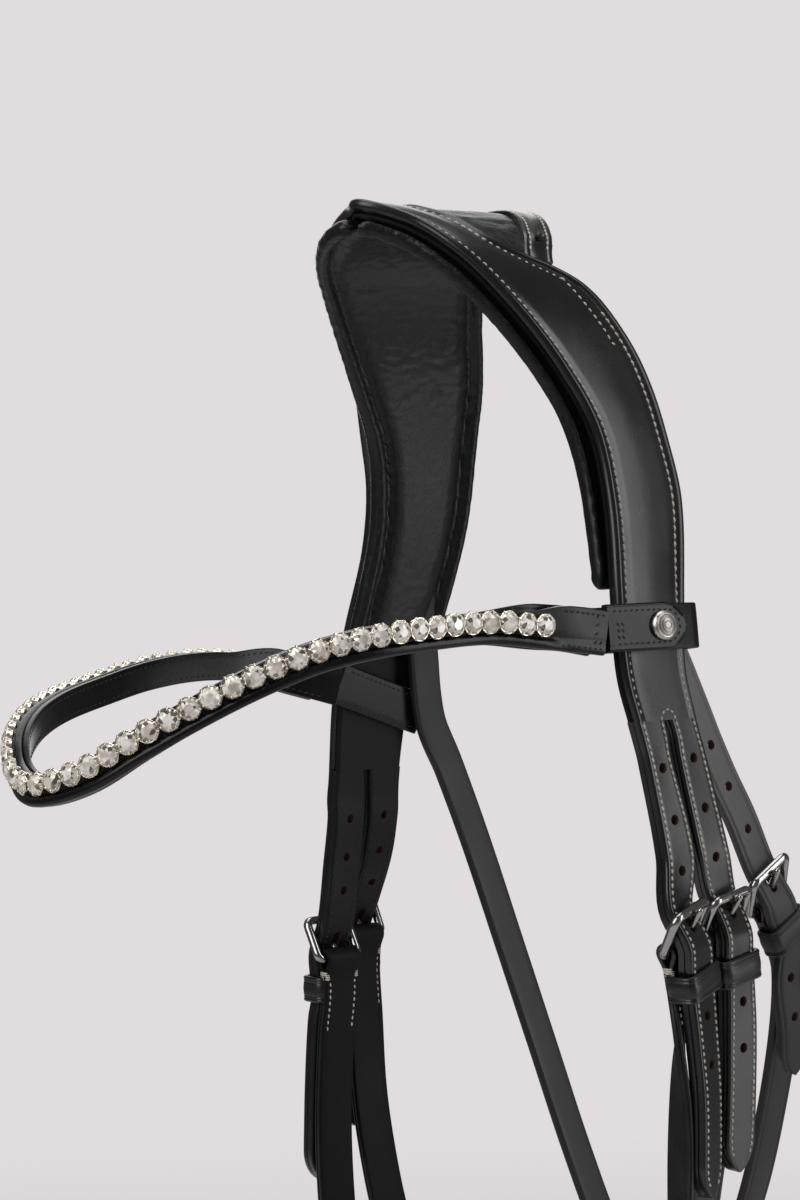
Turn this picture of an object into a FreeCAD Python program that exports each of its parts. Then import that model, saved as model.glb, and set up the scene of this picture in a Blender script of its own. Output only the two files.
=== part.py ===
import FreeCAD, Part
import math
import os

# Snaffle bridle, in millimetres. Origin: the underside of the crown pads on the poll.
# +X points forward to the browband, +Y to the horse's left (the near side), +Z up.
# The bridle hangs from its crown, and has slipped a little towards its far side, so that the
# far straps lie lower than the near ones.

V = FreeCAD.Vector
UP = V(0, 0, 1)
FORWARD = V(1, 0, 0)

# Driving dimensions
LEATHER = 3.0            # outer leather of the crown
LINING = 2.5             # its lining
PAD = 6.4                # foam pad under the lining
BILLET_THICK = LEATHER + LINING
STRAP_THICK = 3.5        # cheekpieces and hangers
CHEEK_WIDTH = 16.0       # 5/8 inch straps
BILLET_WIDTH = 14.2
THROAT_WIDTH = 13.0
THROAT_BILLET = 2.8      # its single-ply billet
BROWBAND_WIDTH = 15.0
STONE_PITCH = 7.0
STONE_COUNT = 55
SETTING_R = 3.3
STONE_R = 2.9
GAP = 0.4                # air between pieces that move against each other
PIVOT_Z = -200.0         # height where the bare billets bend
CHEEK_X = -25.0          # billet that carries the cheekpiece
NOSE_X = -41.2           # billet that carries the noseband
PIVOT_R = 9.0
WIRE = 1.6               # buckle wire radius
BAR_GAP = 0.06           # running clearance of a tongue on its bar
MIDDLE_Y = -8.5          # centre plane between the two cheeks
RING_R = 32.0            # bit ring, to the middle of its wire
RING_WIRE = 3.5
RING_Z = -486.0
RING_X = -26.0
RING_HALF = 68.0         # from the centre plane to each ring
MOUTH_DROP = 5.0         # degrees that the mouthpiece arms hang down at rest

NEAR = 1
FAR = -1

# Outer face of the crown leather in the YZ plane, from the apex down each side
APEX = (4.0, 12.0)
NEAR_ARCH = [(26, 0), (42, -20), (54, -48), (61, -78), (67.5, -118), (73.5, -178), (78, -222),
             (79, -300)]
FAR_ARCH = [(-18, 8), (-37, -4), (-52, -24), (-63, -54), (-73, -100), (-86, -153), (-94, -213),
            (-96.5, -300)]


def smooth(rows, key):
    """Values at key on a cubic that passes through the rows (key, value, value, ...)."""
    last = len(rows) - 1
    i = 0
    while i < last - 1 and key > rows[i + 1][0]:
        i += 1
    a = rows[i]
    b = rows[i + 1]
    before = rows[max(i - 1, 0)]
    after = rows[min(i + 2, last)]
    h = b[0] - a[0]
    t = (key - a[0]) / h
    values = []
    for j in range(1, len(a)):
        ma = h * (b[j] - before[j]) / (b[0] - before[0])
        mb = h * (after[j] - a[j]) / (after[0] - a[0])
        values.append((1 + 2 * t) * (1 - t) ** 2 * a[j] + t * (1 - t) ** 2 * ma
                      + t * t * (3 - 2 * t) * b[j] + t * t * (t - 1) * mb)
    return values


def with_lengths(points):
    """The points, each with its distance along the line put in front."""
    rows = [(0.0,) + tuple(points[0])]
    for p, q in zip(points, points[1:]):
        rows.append((rows[-1][0] + math.dist(p[:3], q[:3]),) + tuple(q))
    return rows


def arch_rows():
    """(distance from the apex, y, z), negative on the far side."""
    near = with_lengths([APEX] + NEAR_ARCH)
    far = with_lengths([APEX] + FAR_ARCH)
    return [(-s, y, z) for s, y, z in reversed(far[1:])] + near


ARCH = arch_rows()


def on_arch(s, depth):
    """Point of the YZ plane at distance s from the apex and depth below the outer face."""
    y, z = smooth(ARCH, s)
    y0, z0 = smooth(ARCH, s - 1)
    y1, z1 = smooth(ARCH, s + 1)
    along = V(0, y1 - y0, z1 - z0).normalize()
    outward = FORWARD.cross(along)
    return V(0, y, z) - outward * depth, outward, along


def arch_at_height(z, side):
    """Distance from the apex at which the arch reaches height z."""
    low = 30.0
    high = 320.0
    for _ in range(40):
        middle = (low + high) / 2
        if smooth(ARCH, side * middle)[1] > z:
            low = middle
        else:
            high = middle
    return side * low


def loft(sections):
    """A closed solid with straight edges from each section to the next."""
    wires = [Part.makePolygon(corners + [corners[0]]) for corners in sections]
    return Part.makeLoft(wires, True, True)


def plate(rows, start, end, top, bottom, step=6.0):
    """A layer of the crown: rows are (distance, x of the front edge, x of the rear edge).

    All layers have their sections at the same multiples of step, so that they lie flat on each other.
    """
    inner = range(math.floor(start / step) + 1, math.ceil(end / step))
    sections = []
    for s in [start] + [i * step for i in inner] + [end]:
        front, rear = smooth(rows, s)
        upper = on_arch(s, top)[0]
        lower = on_arch(s, bottom)[0]
        sections.append([V(front, upper.y, upper.z), V(rear, upper.y, upper.z),
                         V(rear, lower.y, lower.z), V(front, lower.y, lower.z)])
    return loft(sections)


def stations(points, step):
    """Evenly spaced (point, tangent, extra values) along a smooth line through the points."""
    rows = with_lengths(points)
    length = rows[-1][0]
    count = max(3, round(length / step))
    found = []
    for i in range(count + 1):
        d = length * i / count
        here = smooth(rows, d)
        ahead = V(*smooth(rows, min(d + 0.5, length))[:3])
        back = V(*smooth(rows, max(d - 0.5, 0))[:3])
        found.append((V(*here[:3]), (ahead - back).normalize(), here[3:]))
    return found


def cross_axes(tangent, across, turn=0.0):
    """Width and thickness directions of a strap, turned about its length by turn degrees."""
    width = (across - tangent * across.dot(tangent)).normalize()
    width = FreeCAD.Rotation(tangent, turn).multVec(width)
    return width, tangent.cross(width)


def ribbon(points, width, thickness, across, step=5.0):
    """A flat strap along points (x, y, z) or (x, y, z, turn), at the middle of its thickness."""
    sections = []
    for p, tangent, extra in stations(points, step):
        w, n = cross_axes(tangent, across, extra[0] if extra else 0.0)
        w = w * (width / 2)
        n = n * (thickness / 2)
        sections.append([p + w + n, p - w + n, p - w - n, p + w - n])
    return loft(sections)


def y_cylinder(x, z, radius):
    return Part.makeCylinder(radius, 400, V(x, -200, z), V(0, 1, 0))


def block(low, high):
    return Part.makeBox(high[0] - low[0], high[1] - low[1], high[2] - low[2], V(*low))


def set_down(shape, side, origin, lean=0.0, turn=0.0, tilt=0.0):
    """Moves a shape drawn with X forward, Y outward and Z up to its place on one side.

    It leans forward about Y, turns about Z and then tilts inward about X.
    """
    moved = shape.copy()
    moved.rotate(V(0, 0, 0), V(0, 1, 0), lean)
    moved.rotate(V(0, 0, 0), UP, turn)
    moved.rotate(V(0, 0, 0), FORWARD, tilt)
    if side == FAR:
        moved = moved.mirror(V(0, 0, 0), V(0, 1, 0))
    moved.translate(V(*origin))
    return moved


def local_point(x, y, z, side, origin, lean=0.0, turn=0.0, tilt=0.0):
    """The same move for one point."""
    p = FreeCAD.Rotation(UP, turn).multVec(FreeCAD.Rotation(V(0, 1, 0), lean).multVec(V(x, y, z)))
    p = FreeCAD.Rotation(FORWARD, tilt).multVec(p)
    return (origin[0] + p.x, origin[1] + side * p.y, origin[2] + p.z)


def solid(shape):
    """The one solid of a shape, or a compound of its solids."""
    return shape.Solids[0] if len(shape.Solids) == 1 else Part.makeCompound(shape.Solids)


def save(name, shape):
    shape.exportStep("parts/" + name + ".step")


os.makedirs("parts", exist_ok=True)

# ---------------------------------------------------------------- crown

# Edges of the crown leather: (distance along the arch from the apex, x)
CROWN_FRONT = [(-252, -17), (-235, -17), (-206, -15), (-178, -16), (-150, -18), (-125, -15),
               (-100, -4), (-80, 9), (-60, 23), (-40, 38), (-20, 47), (0, 51), (16, 39), (28, 32.5),
               (49, 21), (74, 6.5), (95, -3), (118, -5.5), (150, -4), (175, -5), (196, -11),
               (215, -16), (240, -20)]
CROWN_REAR = [(-252, -49), (-235, -48), (-206, -49), (-178, -51), (-150, -54), (-115, -53),
              (-85, -50), (-60, -41), (-40, -31), (-20, -28), (0, -27.5), (15, -22), (30, -16),
              (48, -23.3), (71, -32.3), (98, -37.5), (118, -40), (150, -36), (173, -34),
              (190, -37.5), (215, -44.5), (240, -49.5)]
# Front edge of the window over the poll; it is open to the rear
WINDOW_FRONT = [(-40, -24), (-31, 0), (-24, 9), (-12, 17), (0, 26), (12, 17), (24, 10), (31, 1),
                (37, -14)]
# The slots that part the two billets of each side: (distance, x of front edge, x of rear edge)
NEAR_SLOT = [(188, -22, -24), (200, -24.5, -27.5), (300, -32.3, -33.9)]
FAR_SLOT = [(-300, -32.3, -33.9), (-245, -32, -34), (-233, -30.5, -32.5)]
SLOT_X = -33.1           # between the two billets at their bends
LINING_FRONT = 0.8       # the lining shows past the leather's front edge
LINING_REAR = -0.5       # and past its rear edge


def edges(s):
    return smooth(CROWN_FRONT, s)[0], smooth(CROWN_REAR, s)[0]


def crown_rows(start, end, front_add, rear_add):
    rows = []
    count = round((end - start) / 6)
    for i in range(count + 1):
        s = start + (end - start) * i / count
        front, rear = edges(s)
        rows.append((s, front + front_add, rear + rear_add))
    return rows


def trimmed(shape):
    """Cuts a layer of the crown to its billets and to the bends of both billets."""
    for slot in (NEAR_SLOT, FAR_SLOT):
        shape = shape.cut(plate(slot, slot[0][0], slot[-1][0], -3, 9))
    for x, low, high in ((CHEEK_X, SLOT_X, 20), (NOSE_X, -70, SLOT_X)):
        half = block((low, -200, -260), (high, 200, -150))
        shape = shape.cut(y_cylinder(x, PIVOT_Z, PIVOT_R + GAP).common(half))
    return shape.cut(block((-90, -200, -300), (60, 200, PIVOT_Z)))


near_end = arch_at_height(PIVOT_Z, NEAR)
far_end = arch_at_height(PIVOT_Z, FAR)
outer_rows = crown_rows(far_end, near_end, 0, 0)
lining_rows = crown_rows(far_end, near_end, LINING_FRONT, LINING_REAR)
window = plate([(s, x, -60) for s, x in WINDOW_FRONT], -38, 35, -4, LEATHER + 1)
crown_leather = trimmed(plate(outer_rows, far_end, near_end, 0, LEATHER)).cut(window)
crown_lining = trimmed(plate(lining_rows, far_end, near_end, LEATHER, BILLET_THICK))
save("crown_leather", solid(crown_leather))
save("crown_lining", solid(crown_lining))


# ---------------------------------------------------------------- pads, insert and poll strap

# (distance, x of the front edge, x of the rear edge)
NEAR_PAD = [(1.5, 56, -26), (16, 44, -21), (30, 36, -15), (49, 26, -21), (64, 18.5, -27), (86, 8, -33),
            (106, 2.5, -37), (126, 0.5, -38), (147, -1.5, -35)]
FAR_PAD = [(-188, -11, -53), (-160, -13, -57), (-138, -13, -59), (-112, -7, -58), (-87, 8, -55),
           (-60, 27, -45), (-46, 38, -38), (-32, 47, -33), (-18, 53, -30), (-2, 56, -27)]
INSERT = [(-30, -3, -21), (-24, 8, -27), (-12, 16, -27), (0, 25, -26.5), (12, 16, -23),
          (24, 9, -18.5), (30, 0, -16)]
POLL_STRAP = [(-31, -6, -19), (-20, -10, -23), (-10, -13, -26.5), (0, -15, -28.5),
              (10, -11, -24.5), (20, -5, -18.5), (31, 1, -12)]
PAD_TOP = BILLET_THICK + 0.05
POLL_STRAP_TOP = -2.3    # depth of the poll strap's outer face; it stands above the leather
RIVET_AT = 22.0          # distance from the apex
RIVET_R = 1.5

near_pad = plate(NEAR_PAD, 1.5, 147, PAD_TOP, PAD_TOP + PAD)
far_pad = plate(FAR_PAD, -188, -2, PAD_TOP, PAD_TOP + PAD)
save("near_pad", solid(near_pad))
save("far_pad", solid(far_pad))

save("crown_insert", solid(plate(INSERT, -28, 28, 0.5, LEATHER)))
save("poll_strap", solid(plate(POLL_STRAP, -29, 29, POLL_STRAP_TOP, 0.45)))


def rivet():
    front, rear = smooth(POLL_STRAP, RIVET_AT)
    seat, outward, along = on_arch(RIVET_AT, POLL_STRAP_TOP)
    seat.x = (front + rear) / 2
    return Part.makeCylinder(RIVET_R, 0.9, seat, outward)


save("poll_rivet", rivet())

# ---------------------------------------------------------------- buckles and their straps

BAR_LENGTH = 18.6        # between the middles of the frame's two sides
FRAME_RISE = 13.5        # from the lower bar up to the top bar
FRAME_LIFT = 7.2         # the top bar stands out over the billet
CORNER = 2.6
TONGUE_R = 1.2
FOLD_IN = WIRE + 0.45
FOLD_OUT = FOLD_IN + 1.8
FOLD_SIDE = 0.6          # the fold is this much inside the strap's edge
KEEPER_TOP = -6.5
KEEPER_HEIGHT = 9.5
KEEPER_WALL = 1.5
TONGUE_RING = 1.35       # wall of the tongue's ring
TAIL_OUT = 5.6           # from the bar out to the middle of the billet's tail in its keeper
THROAT_TAIL_OUT = 5.0
TAIL_AIR = 0.9           # room between the tail and its keeper


def buckle_frame(width=BAR_LENGTH, rise=FRAME_RISE, lift=FRAME_LIFT):
    """A rounded rectangle of round wire. Its lower bar lies on the X axis."""
    half = width / 2
    tall = math.hypot(rise, lift)
    c = CORNER
    h = c * (1 - math.sqrt(0.5))
    corners = [(half - c, 0), (half, c), (half, tall - c), (half - c, tall)]
    points = [V(x, 0, z) for x, z in corners] + [V(-x, 0, z) for x, z in reversed(corners)]
    arcs = [V(half - h, 0, h), V(half - h, 0, tall - h), V(-half + h, 0, tall - h), V(-half + h, 0, h)]
    edges_found = []
    for i in range(4):
        a = points[2 * i]
        b = points[2 * i + 1]
        edges_found.append(Part.Arc(a, arcs[i], b).toShape())
        edges_found.append(Part.makeLine(b, points[(2 * i + 2) % 8]))
    path = Part.Wire(edges_found)
    start = Part.makeCircle(WIRE, points[0], FORWARD)
    frame = path.makePipeShell([Part.Wire([start])], True, False)
    frame.rotate(V(0, 0, 0), FORWARD, -math.degrees(math.atan2(lift, rise)))
    return frame


def tongue_tip(rise=FRAME_RISE, lift=FRAME_LIFT):
    lean = math.hypot(rise, lift)
    out = V(0, rise, -lift) / lean
    return V(0, lift, rise) + out * (WIRE + TONGUE_R + 0.4) + V(0, lift, rise) * (1.6 / lean)


def tongue(rise=FRAME_RISE, lift=FRAME_LIFT):
    """A ring round the lower bar, and a tapered pin that rests on the top bar."""
    ring = Part.makeCylinder(WIRE + TONGUE_RING, 3.4, V(-1.7, 0, 0), FORWARD)
    bore = Part.makeCylinder(WIRE + BAR_GAP, 5, V(-2.5, 0, 0), FORWARD)
    tip = tongue_tip(rise, lift)
    start = tip * ((WIRE + 0.7) / tip.Length)
    pin = Part.makeCone(TONGUE_R + 0.15, TONGUE_R - 0.15, (tip - start).Length, start, tip - start)
    return ring.fuse(pin).fuse(Part.makeSphere(TONGUE_R - 0.15, tip)).cut(bore)


def fold(width=CHEEK_WIDTH):
    """The strap's fold round the lower bar, with a slot for the tongue, and its joined plies."""
    half = width / 2 - FOLD_SIDE
    ring = Part.makeCylinder(FOLD_OUT, 2 * half, V(-half, 0, 0), FORWARD)
    ply = STRAP_THICK / 2 - 0.2
    ring = ring.fuse(block((-half, -ply, -8), (half, ply, 0)))
    ring = ring.cut(Part.makeCylinder(FOLD_IN, width + 2, V(-half - 1, 0, 0), FORWARD))
    return ring.cut(block((-2.4, -6, -4.2), (2.4, 6, 6)))


def upright_edges(shape):
    return [e for e in shape.Edges if abs(e.Vertexes[0].Z - e.Vertexes[1].Z) > 1]


def keeper(width, inner, outer):
    """A sewn loop round the strap and the billet's tail, from y inner to y outer."""
    half = width / 2
    x = half + KEEPER_WALL
    low = KEEPER_TOP - KEEPER_HEIGHT
    hull = block((-x, inner - KEEPER_WALL, low), (x, outer + KEEPER_WALL, KEEPER_TOP))
    hull = hull.makeFillet(2.6, upright_edges(hull))
    return hull.cut(block((-half, inner, -50), (half, outer, 20)))


def tongue_hole(side, origin, lean, turn):
    """The long hole that lets the tongue through a billet, with room for it to lift."""
    tip = tongue_tip()
    slot = block((-2.1, -2.4, -2), (2.1, 4.8, 40))
    slot.rotate(V(0, 0, 0), FORWARD, -math.degrees(math.atan2(tip.y, tip.z)))
    return set_down(slot, side, origin, lean, turn)


def pointed(points, width):
    """A cutter that leaves a rounded point on the end of a strap."""
    end = V(*points[-1][:3])
    back = V(*points[-2][:3])
    along = (end - back).normalize()
    w = along.cross(V(0, 1, 0)).normalize()
    outward = w.cross(along)
    length = width * 0.8
    shoulder = end - along * length
    half = width / 2
    tip = end
    a = shoulder + w * half
    b = shoulder - w * half
    left = Part.Arc(a, shoulder + along * length * 0.62 + w * half * 0.56, tip).toShape()
    right = Part.Arc(tip, shoulder + along * length * 0.62 - w * half * 0.56, b).toShape()
    past = along * (length + 12)
    outer = [b, b - w * 6, b - w * 6 + past, a + w * 6 + past, a + w * 6, a]
    lines = [Part.makeLine(p, q) for p, q in zip(outer, outer[1:])]
    face = Part.Face(Part.Wire([left, right] + lines))
    face.translate(outward * -15)
    return face.extrude(outward * 30)


def below_bend(shape, x, z, radius):
    """Keeps what lies under a bend's axis and the round end inside it."""
    room = block((-140, -200, -420), (80, 200, z)).fuse(y_cylinder(x, z, radius))
    return shape.common(room)


# side, middle of the lower bar, lean away from the head and turn in its plane, both in degrees
BUCKLES = {
    "near_cheek": (NEAR, (-26.0, 73.4, -230.0), 14.0, 11.0),
    "near_nose": (NEAR, (-48.6, 70.8, -228.0), 9.0, 4.0),
    "near_throat": (NEAR, (-75.5, 68.0, -220.0), 29.0, 0.0),
    "far_cheek": (FAR, (-22.5, -91.0, -251.5), 1.0, 0.0),
    "far_nose": (FAR, (-43.4, -101.4, -246.0), -2.0, 0.0),
}

# Middle lines: x, y, z and the turn of the strap about its own line, in degrees
BILLETS = {
    "near_cheek": [(-24.9, 73.0, -186, 0), (-25.2, 73.2, -200, 4), "buckle",
                   (-32.0, 78.8, -258, -14), (-33.8, 79.3, -280, -18), (-34.0, 79.3, -312.5, -18)],
    "near_nose": [(-40.6, 73.0, -186, 0), (-41.4, 73.2, -200, 0), "buckle",
                  (-52.4, 76.2, -260, 0), (-52.6, 75.8, -284, 0), (-52.0, 75.4, -307, 0)],
    "far_cheek": [(-25.0, -86.6, -186, 0), (-25.0, -88.6, -200, 0), (-25, -90.6, -216, 0), "buckle",
                  (-21.5, -97.0, -275, 0), (-20.5, -97.6, -300, 0), (-20.0, -97.9, -334, 0)],
    "far_nose": [(-41.2, -86.6, -186, 0), (-41.0, -88.6, -200, 0), (-41.6, -93.6, -215, 0), "buckle",
                 (-43.6, -106.8, -270, 0), (-42.6, -106.4, -292, 0), (-41.4, -105.6, -318, 0)],
}


def through_buckle(points, name):
    """Puts a billet's way through its buckle in place of the word buckle."""
    side, origin, lean, turn = BUCKLES[name]
    way = []
    for p in points:
        if p != "buckle":
            way.append(p)
            continue
        for y, z in ((1.4, FRAME_RISE), (6.6, 1.0), (6.1, -7.5), (5.7, -16.0)):
            way.append(local_point(0, y, z, side, origin, lean, turn) + (-turn * side,))
    return way


def billet(name):
    side, origin, lean, turn = BUCKLES[name]
    way = through_buckle(BILLETS[name], name)
    axis_x = CHEEK_X if name.endswith("cheek") else NOSE_X
    shape = ribbon(way, BILLET_WIDTH, BILLET_THICK, FORWARD)
    shape = below_bend(shape, axis_x, PIVOT_Z, PIVOT_R)
    return shape.cut(tongue_hole(side, origin, lean, turn)).cut(pointed(way, BILLET_WIDTH))


def strap(points, name, width=CHEEK_WIDTH, step=5.0):
    """A strap that begins as the fold of its buckle and follows the points."""
    side, origin, lean, turn = BUCKLES[name]
    top = [local_point(0, 0, z, side, origin, lean, turn) + (-turn * side,) for z in (-4.5, -14.0)]
    body = ribbon(top + points, width, STRAP_THICK, FORWARD, step)
    return body.fuse(set_down(fold(width), side, origin, lean, turn)).removeSplitter()


LOOP_IN = 4.6            # inside radius of the cheekpiece's loop round the ring
LOOP_TOP = RING_Z + RING_R - 0.5


def bit_loop(side):
    """Points of the cheekpiece's end: down outside the ring, round it and up inside."""
    ring_y = MIDDLE_Y + side * RING_HALF
    r = LOOP_IN + STRAP_THICK / 2
    points = [(RING_X, ring_y + side * (r + 0.4), LOOP_TOP + 40, 0),
              (RING_X, ring_y + side * (r + 0.1), LOOP_TOP + 16, 0)]
    for step in range(7):
        a = math.radians(30 * step)
        points.append((RING_X, ring_y + side * r * math.cos(a), LOOP_TOP - r * math.sin(a), 0))
    inside = ring_y + side * (r - STRAP_THICK)
    points += [(RING_X, ring_y - side * (r - 0.8), LOOP_TOP + 9, 0), (RING_X, ring_y, LOOP_TOP + 20, 0),
               (RING_X, inside - side * 0.2, LOOP_TOP + 31, 0), (RING_X, inside, LOOP_TOP + 46, 0)]
    return points


NEAR_CHEEK = [(-27.0, 73.0, -262, -38), (-26.5, 73.2, -285, -52), (-26.5, 73.0, -315, -54),
              (-27.0, 71.5, -350, -34), (-26.5, 68.6, -390, -8)]
FAR_CHEEK = [(-21.5, -91.5, -280, 0), (-20.5, -91.8, -315, 0), (-21.0, -89.5, -350, 0),
             (-24.0, -86.0, -390, 0)]
NEAR_HANGER = [(-51.0, 70.6, -262), (-49.0, 68.6, -290), (-46.0, 65.2, -325), (-43.8, 61.2, -366),
               (-43.5, 60.2, -380), (-43.5, 60.2, -401)]
FAR_HANGER = [(-43.4, -100.6, -275), (-42.6, -97.0, -305), (-42.8, -90.0, -335), (-43.3, -79.6, -366),
              (-43.5, -77.4, -380), (-43.5, -77.2, -401)]

save("near_cheek_billet", solid(billet("near_cheek")))
save("far_cheek_billet", solid(billet("far_cheek")))
save("near_nose_billet", solid(billet("near_nose")))
save("far_nose_billet", solid(billet("far_nose")))
save("near_cheekpiece", solid(strap(NEAR_CHEEK + bit_loop(NEAR), "near_cheek", CHEEK_WIDTH, 4.0)))
save("far_cheekpiece", solid(strap(FAR_CHEEK + bit_loop(FAR), "far_cheek", CHEEK_WIDTH, 4.0)))
save("near_nose_hanger", solid(strap([p + (0,) for p in NEAR_HANGER], "near_nose")))
save("far_nose_hanger", solid(strap([p + (0,) for p in FAR_HANGER], "far_nose")))
for name, (side, origin, lean, turn) in BUCKLES.items():
    save(name + "_buckle", set_down(buckle_frame(), side, origin, lean, turn))
    save(name + "_tongue", set_down(tongue(), side, origin, lean, turn))
    outer = TAIL_OUT + BILLET_THICK / 2
    if name == "near_throat":
        outer = THROAT_TAIL_OUT + THROAT_BILLET / 2
    room = 1.3 if name == "near_cheek" else 0.8
    loop = keeper(CHEEK_WIDTH + room, -STRAP_THICK / 2 - 0.5, outer + TAIL_AIR)
    save(name + "_keeper", set_down(loop, side, origin, lean, turn))

# ---------------------------------------------------------------- throatlash

THROAT_X = -52.0
THROAT_Z = -165.0
THROAT_R = 12.0

NEAR_THROAT_TOP = [(-33.0, 55.6, -118, 0), (-36.5, 57.2, -129, 0), (-42.0, 59.8, -143, 0),
                   (-47.0, 63.0, -158, 0), (-52.0, 65.3, -170, 0)]
NEAR_THROAT = [(-45.5, 62.4, -153, 0), (-48.8, 64.3, -164, 0), (-55.3, 66.6, -178, 0),
               (-61.8, 68.8, -191, 0), "buckle",
               (-83.5, 71.0, -247, 0), (-88.5, 69.0, -264, 0), (-92.5, 65.8, -281, 0)]
FAR_THROAT_TOP = [(-48.5, -73.9, -143, 0), (-50.5, -75.2, -152, 0), (-54.0, -76.6, -164, 0),
                  (-57.0, -77.2, -172, 0)]
THROATLASH = [(-87.8, 66.8, -243, 0), (-94.0, 60.5, -265, 0), (-100.0, 50.0, -295, 0),
              (-104.5, 37.5, -328, 0), (-107.5, 23.0, -356, 0), (-109.0, 8.0, -373, 0),
              (-109.5, -7.0, -379, 0), (-109.3, -22.0, -374, 0), (-107.8, -36.0, -358, 0),
              (-104.0, -49.0, -328, 0), (-97.5, -60.5, -290, 0), (-88.0, -69.5, -250, 0),
              (-76.5, -75.4, -212, 0), (-64.5, -77.6, -183, 0), (-56.0, -77.0, -168, 0),
              (-51.5, -75.6, -155, 0)]


def throat_billet():
    side, origin, lean, turn = BUCKLES["near_throat"]
    way = []
    for p in NEAR_THROAT:
        if p == "buckle":
            for y, z in ((3.3, FRAME_RISE), (5.6, 1.0), (5.2, -7.5), (4.6, -16.0)):
                way.append(local_point(0, y, z, side, origin, lean, turn) + (0,))
        else:
            way.append(p)
    shape = ribbon(way, THROAT_WIDTH + 1, THROAT_BILLET, FORWARD)
    shape = below_bend(shape, THROAT_X, THROAT_Z, THROAT_R)
    return shape.cut(tongue_hole(side, origin, lean, turn)).cut(pointed(way, THROAT_WIDTH + 1))


def above_throat_bend(points):
    shape = ribbon(points, THROAT_WIDTH, THROAT_BILLET, FORWARD)
    shape = shape.cut(y_cylinder(THROAT_X, THROAT_Z, THROAT_R + GAP))
    return shape.cut(block((-140, -200, -420), (80, 200, THROAT_Z)))


save("near_throat_tab", solid(above_throat_bend(NEAR_THROAT_TOP)))
save("far_throat_tab", solid(above_throat_bend(FAR_THROAT_TOP)))
save("throat_billet", solid(throat_billet()))
lash = strap(THROATLASH, "near_throat", THROAT_WIDTH)
save("throatlash", solid(below_bend(lash, THROAT_X, THROAT_Z, THROAT_R)))

# ---------------------------------------------------------------- browband

TAB = 3.0                # thickness of the browband's leather and of the flaps
LOOP_WALL = 2.2
NEAR_LOOP_HALF = 19.0    # half of the room inside each loop, front to back
FAR_LOOP_HALF = 21.0
LOOP_ROOM = 3.8          # half of the room inside a loop, across
LOOP_HEIGHT = 15.0
HINGE_IN = 4.0           # from the end of that room to the flap's hinge
HINGE_Y = LOOP_ROOM + TAB
FLAP_RISE = 8.0          # degrees that the flap stands out towards its snap
FLAP_LENGTH = 31.0
SNAP_X = 21.5            # from the hinge to the middle of the snap
CAP_R = 4.9
STUD_R = 2.6

BAND_LINING = 2.0
BAND_GAP = 0.35          # between the band and its lining
CUP_HEIGHT = 2.4
STONE_HEIGHT = 1.6
STONE_SHIFT = 1.5        # the row of stones sits this much nearer the far side

# side, middle, and its lean, turn and roll in degrees
NEAR_LOOP = (NEAR, (-18.5, 65.6, -126.0), 0.0, 0.0, 7.2)
FAR_LOOP = (FAR, (-33.1, -84.0, -156.4), -18.0, 0.0, 11.0)

BROWBAND = [(5.5, 70.6, -126, 0), (18, 69.6, -124.5, 0), (31, 67.5, -123.5, 0),
            (52, 64.2, -122, 0), (73, 62.5, -123, 0), (94, 60.3, -125, 0),
            (113.5, 55.5, -129, 0), (130.5, 48, -136, 0), (145, 37.2, -145, 0),
            (157, 24.5, -155, 0), (165, 9.5, -165, 0), (168.7, -8.5, -170, 0),
            (165.5, -22, -168, 0), (157.5, -36, -162, 0), (147, -48, -157, 0),
            (134, -59, -153, 0), (117, -69.5, -149.5, 0), (96, -77.5, -146, 0),
            (73, -82.5, -142, 0), (50, -85, -140, 0), (28, -86.6, -141, 0),
            (8, -88.3, -145, 0), (-8.2, -89.4, -148.8, 0)]


def set_off(points, distance):
    """A line beside the browband's line, on its inner side where distance is negative."""
    moved = []
    for i, p in enumerate(points):
        a = V(*points[max(i - 1, 0)][:3])
        b = V(*points[min(i + 1, len(points) - 1)][:3])
        outward = UP.cross(b - a).normalize()
        moved.append((p[0] + outward.x * distance, p[1] + outward.y * distance, p[2], 0))
    return moved


# Both ends of the lining run to the straps that pass behind the headpiece
beside = set_off(BROWBAND, -(TAB / 2 + BAND_LINING / 2 + BAND_GAP))
loop_y = -LOOP_ROOM - LOOP_WALL / 2
near_start = local_point(NEAR_LOOP_HALF + 2.4, loop_y, 0, *NEAR_LOOP) + (0,)
far_start = local_point(FAR_LOOP_HALF + 2.4, loop_y, 0, *FAR_LOOP) + (0,)
lining_way = ([near_start, (17.0, 62.6, -124.5, 0)] + beside[2:-2]
              + [(9.0, -82.9, -144.8, 0), far_start])
save("browband_leather", ribbon(BROWBAND, BROWBAND_WIDTH, TAB, UP))
save("browband_lining", ribbon(lining_way, BROWBAND_WIDTH + 1.0, BAND_LINING, UP))


def stone_places():
    """(seat, outward) of each stone, evenly spaced along the band."""
    stone_line = with_lengths(set_off(BROWBAND, TAB / 2 + 0.15))
    length = stone_line[-1][0]
    first = (length - STONE_PITCH * (STONE_COUNT - 1)) / 2 + STONE_SHIFT
    places = []
    for i in range(STONE_COUNT):
        d = first + i * STONE_PITCH
        here = V(*smooth(stone_line, d)[:3])
        ahead = V(*smooth(stone_line, d + 1)[:3])
        back = V(*smooth(stone_line, d - 1)[:3])
        places.append((here, UP.cross(ahead - back).normalize()))
    return places


settings = []
stones = []
for seat, outward in stone_places():
    settings.append(Part.makeCone(SETTING_R - 0.5, SETTING_R, CUP_HEIGHT, seat, outward))
    rim = seat + outward * CUP_HEIGHT
    stones.append(Part.makeCone(STONE_R, STONE_R * 0.5, STONE_HEIGHT, rim, outward))
save("browband_settings", Part.makeCompound(settings))
save("browband_stones", Part.makeCompound(stones))


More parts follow.
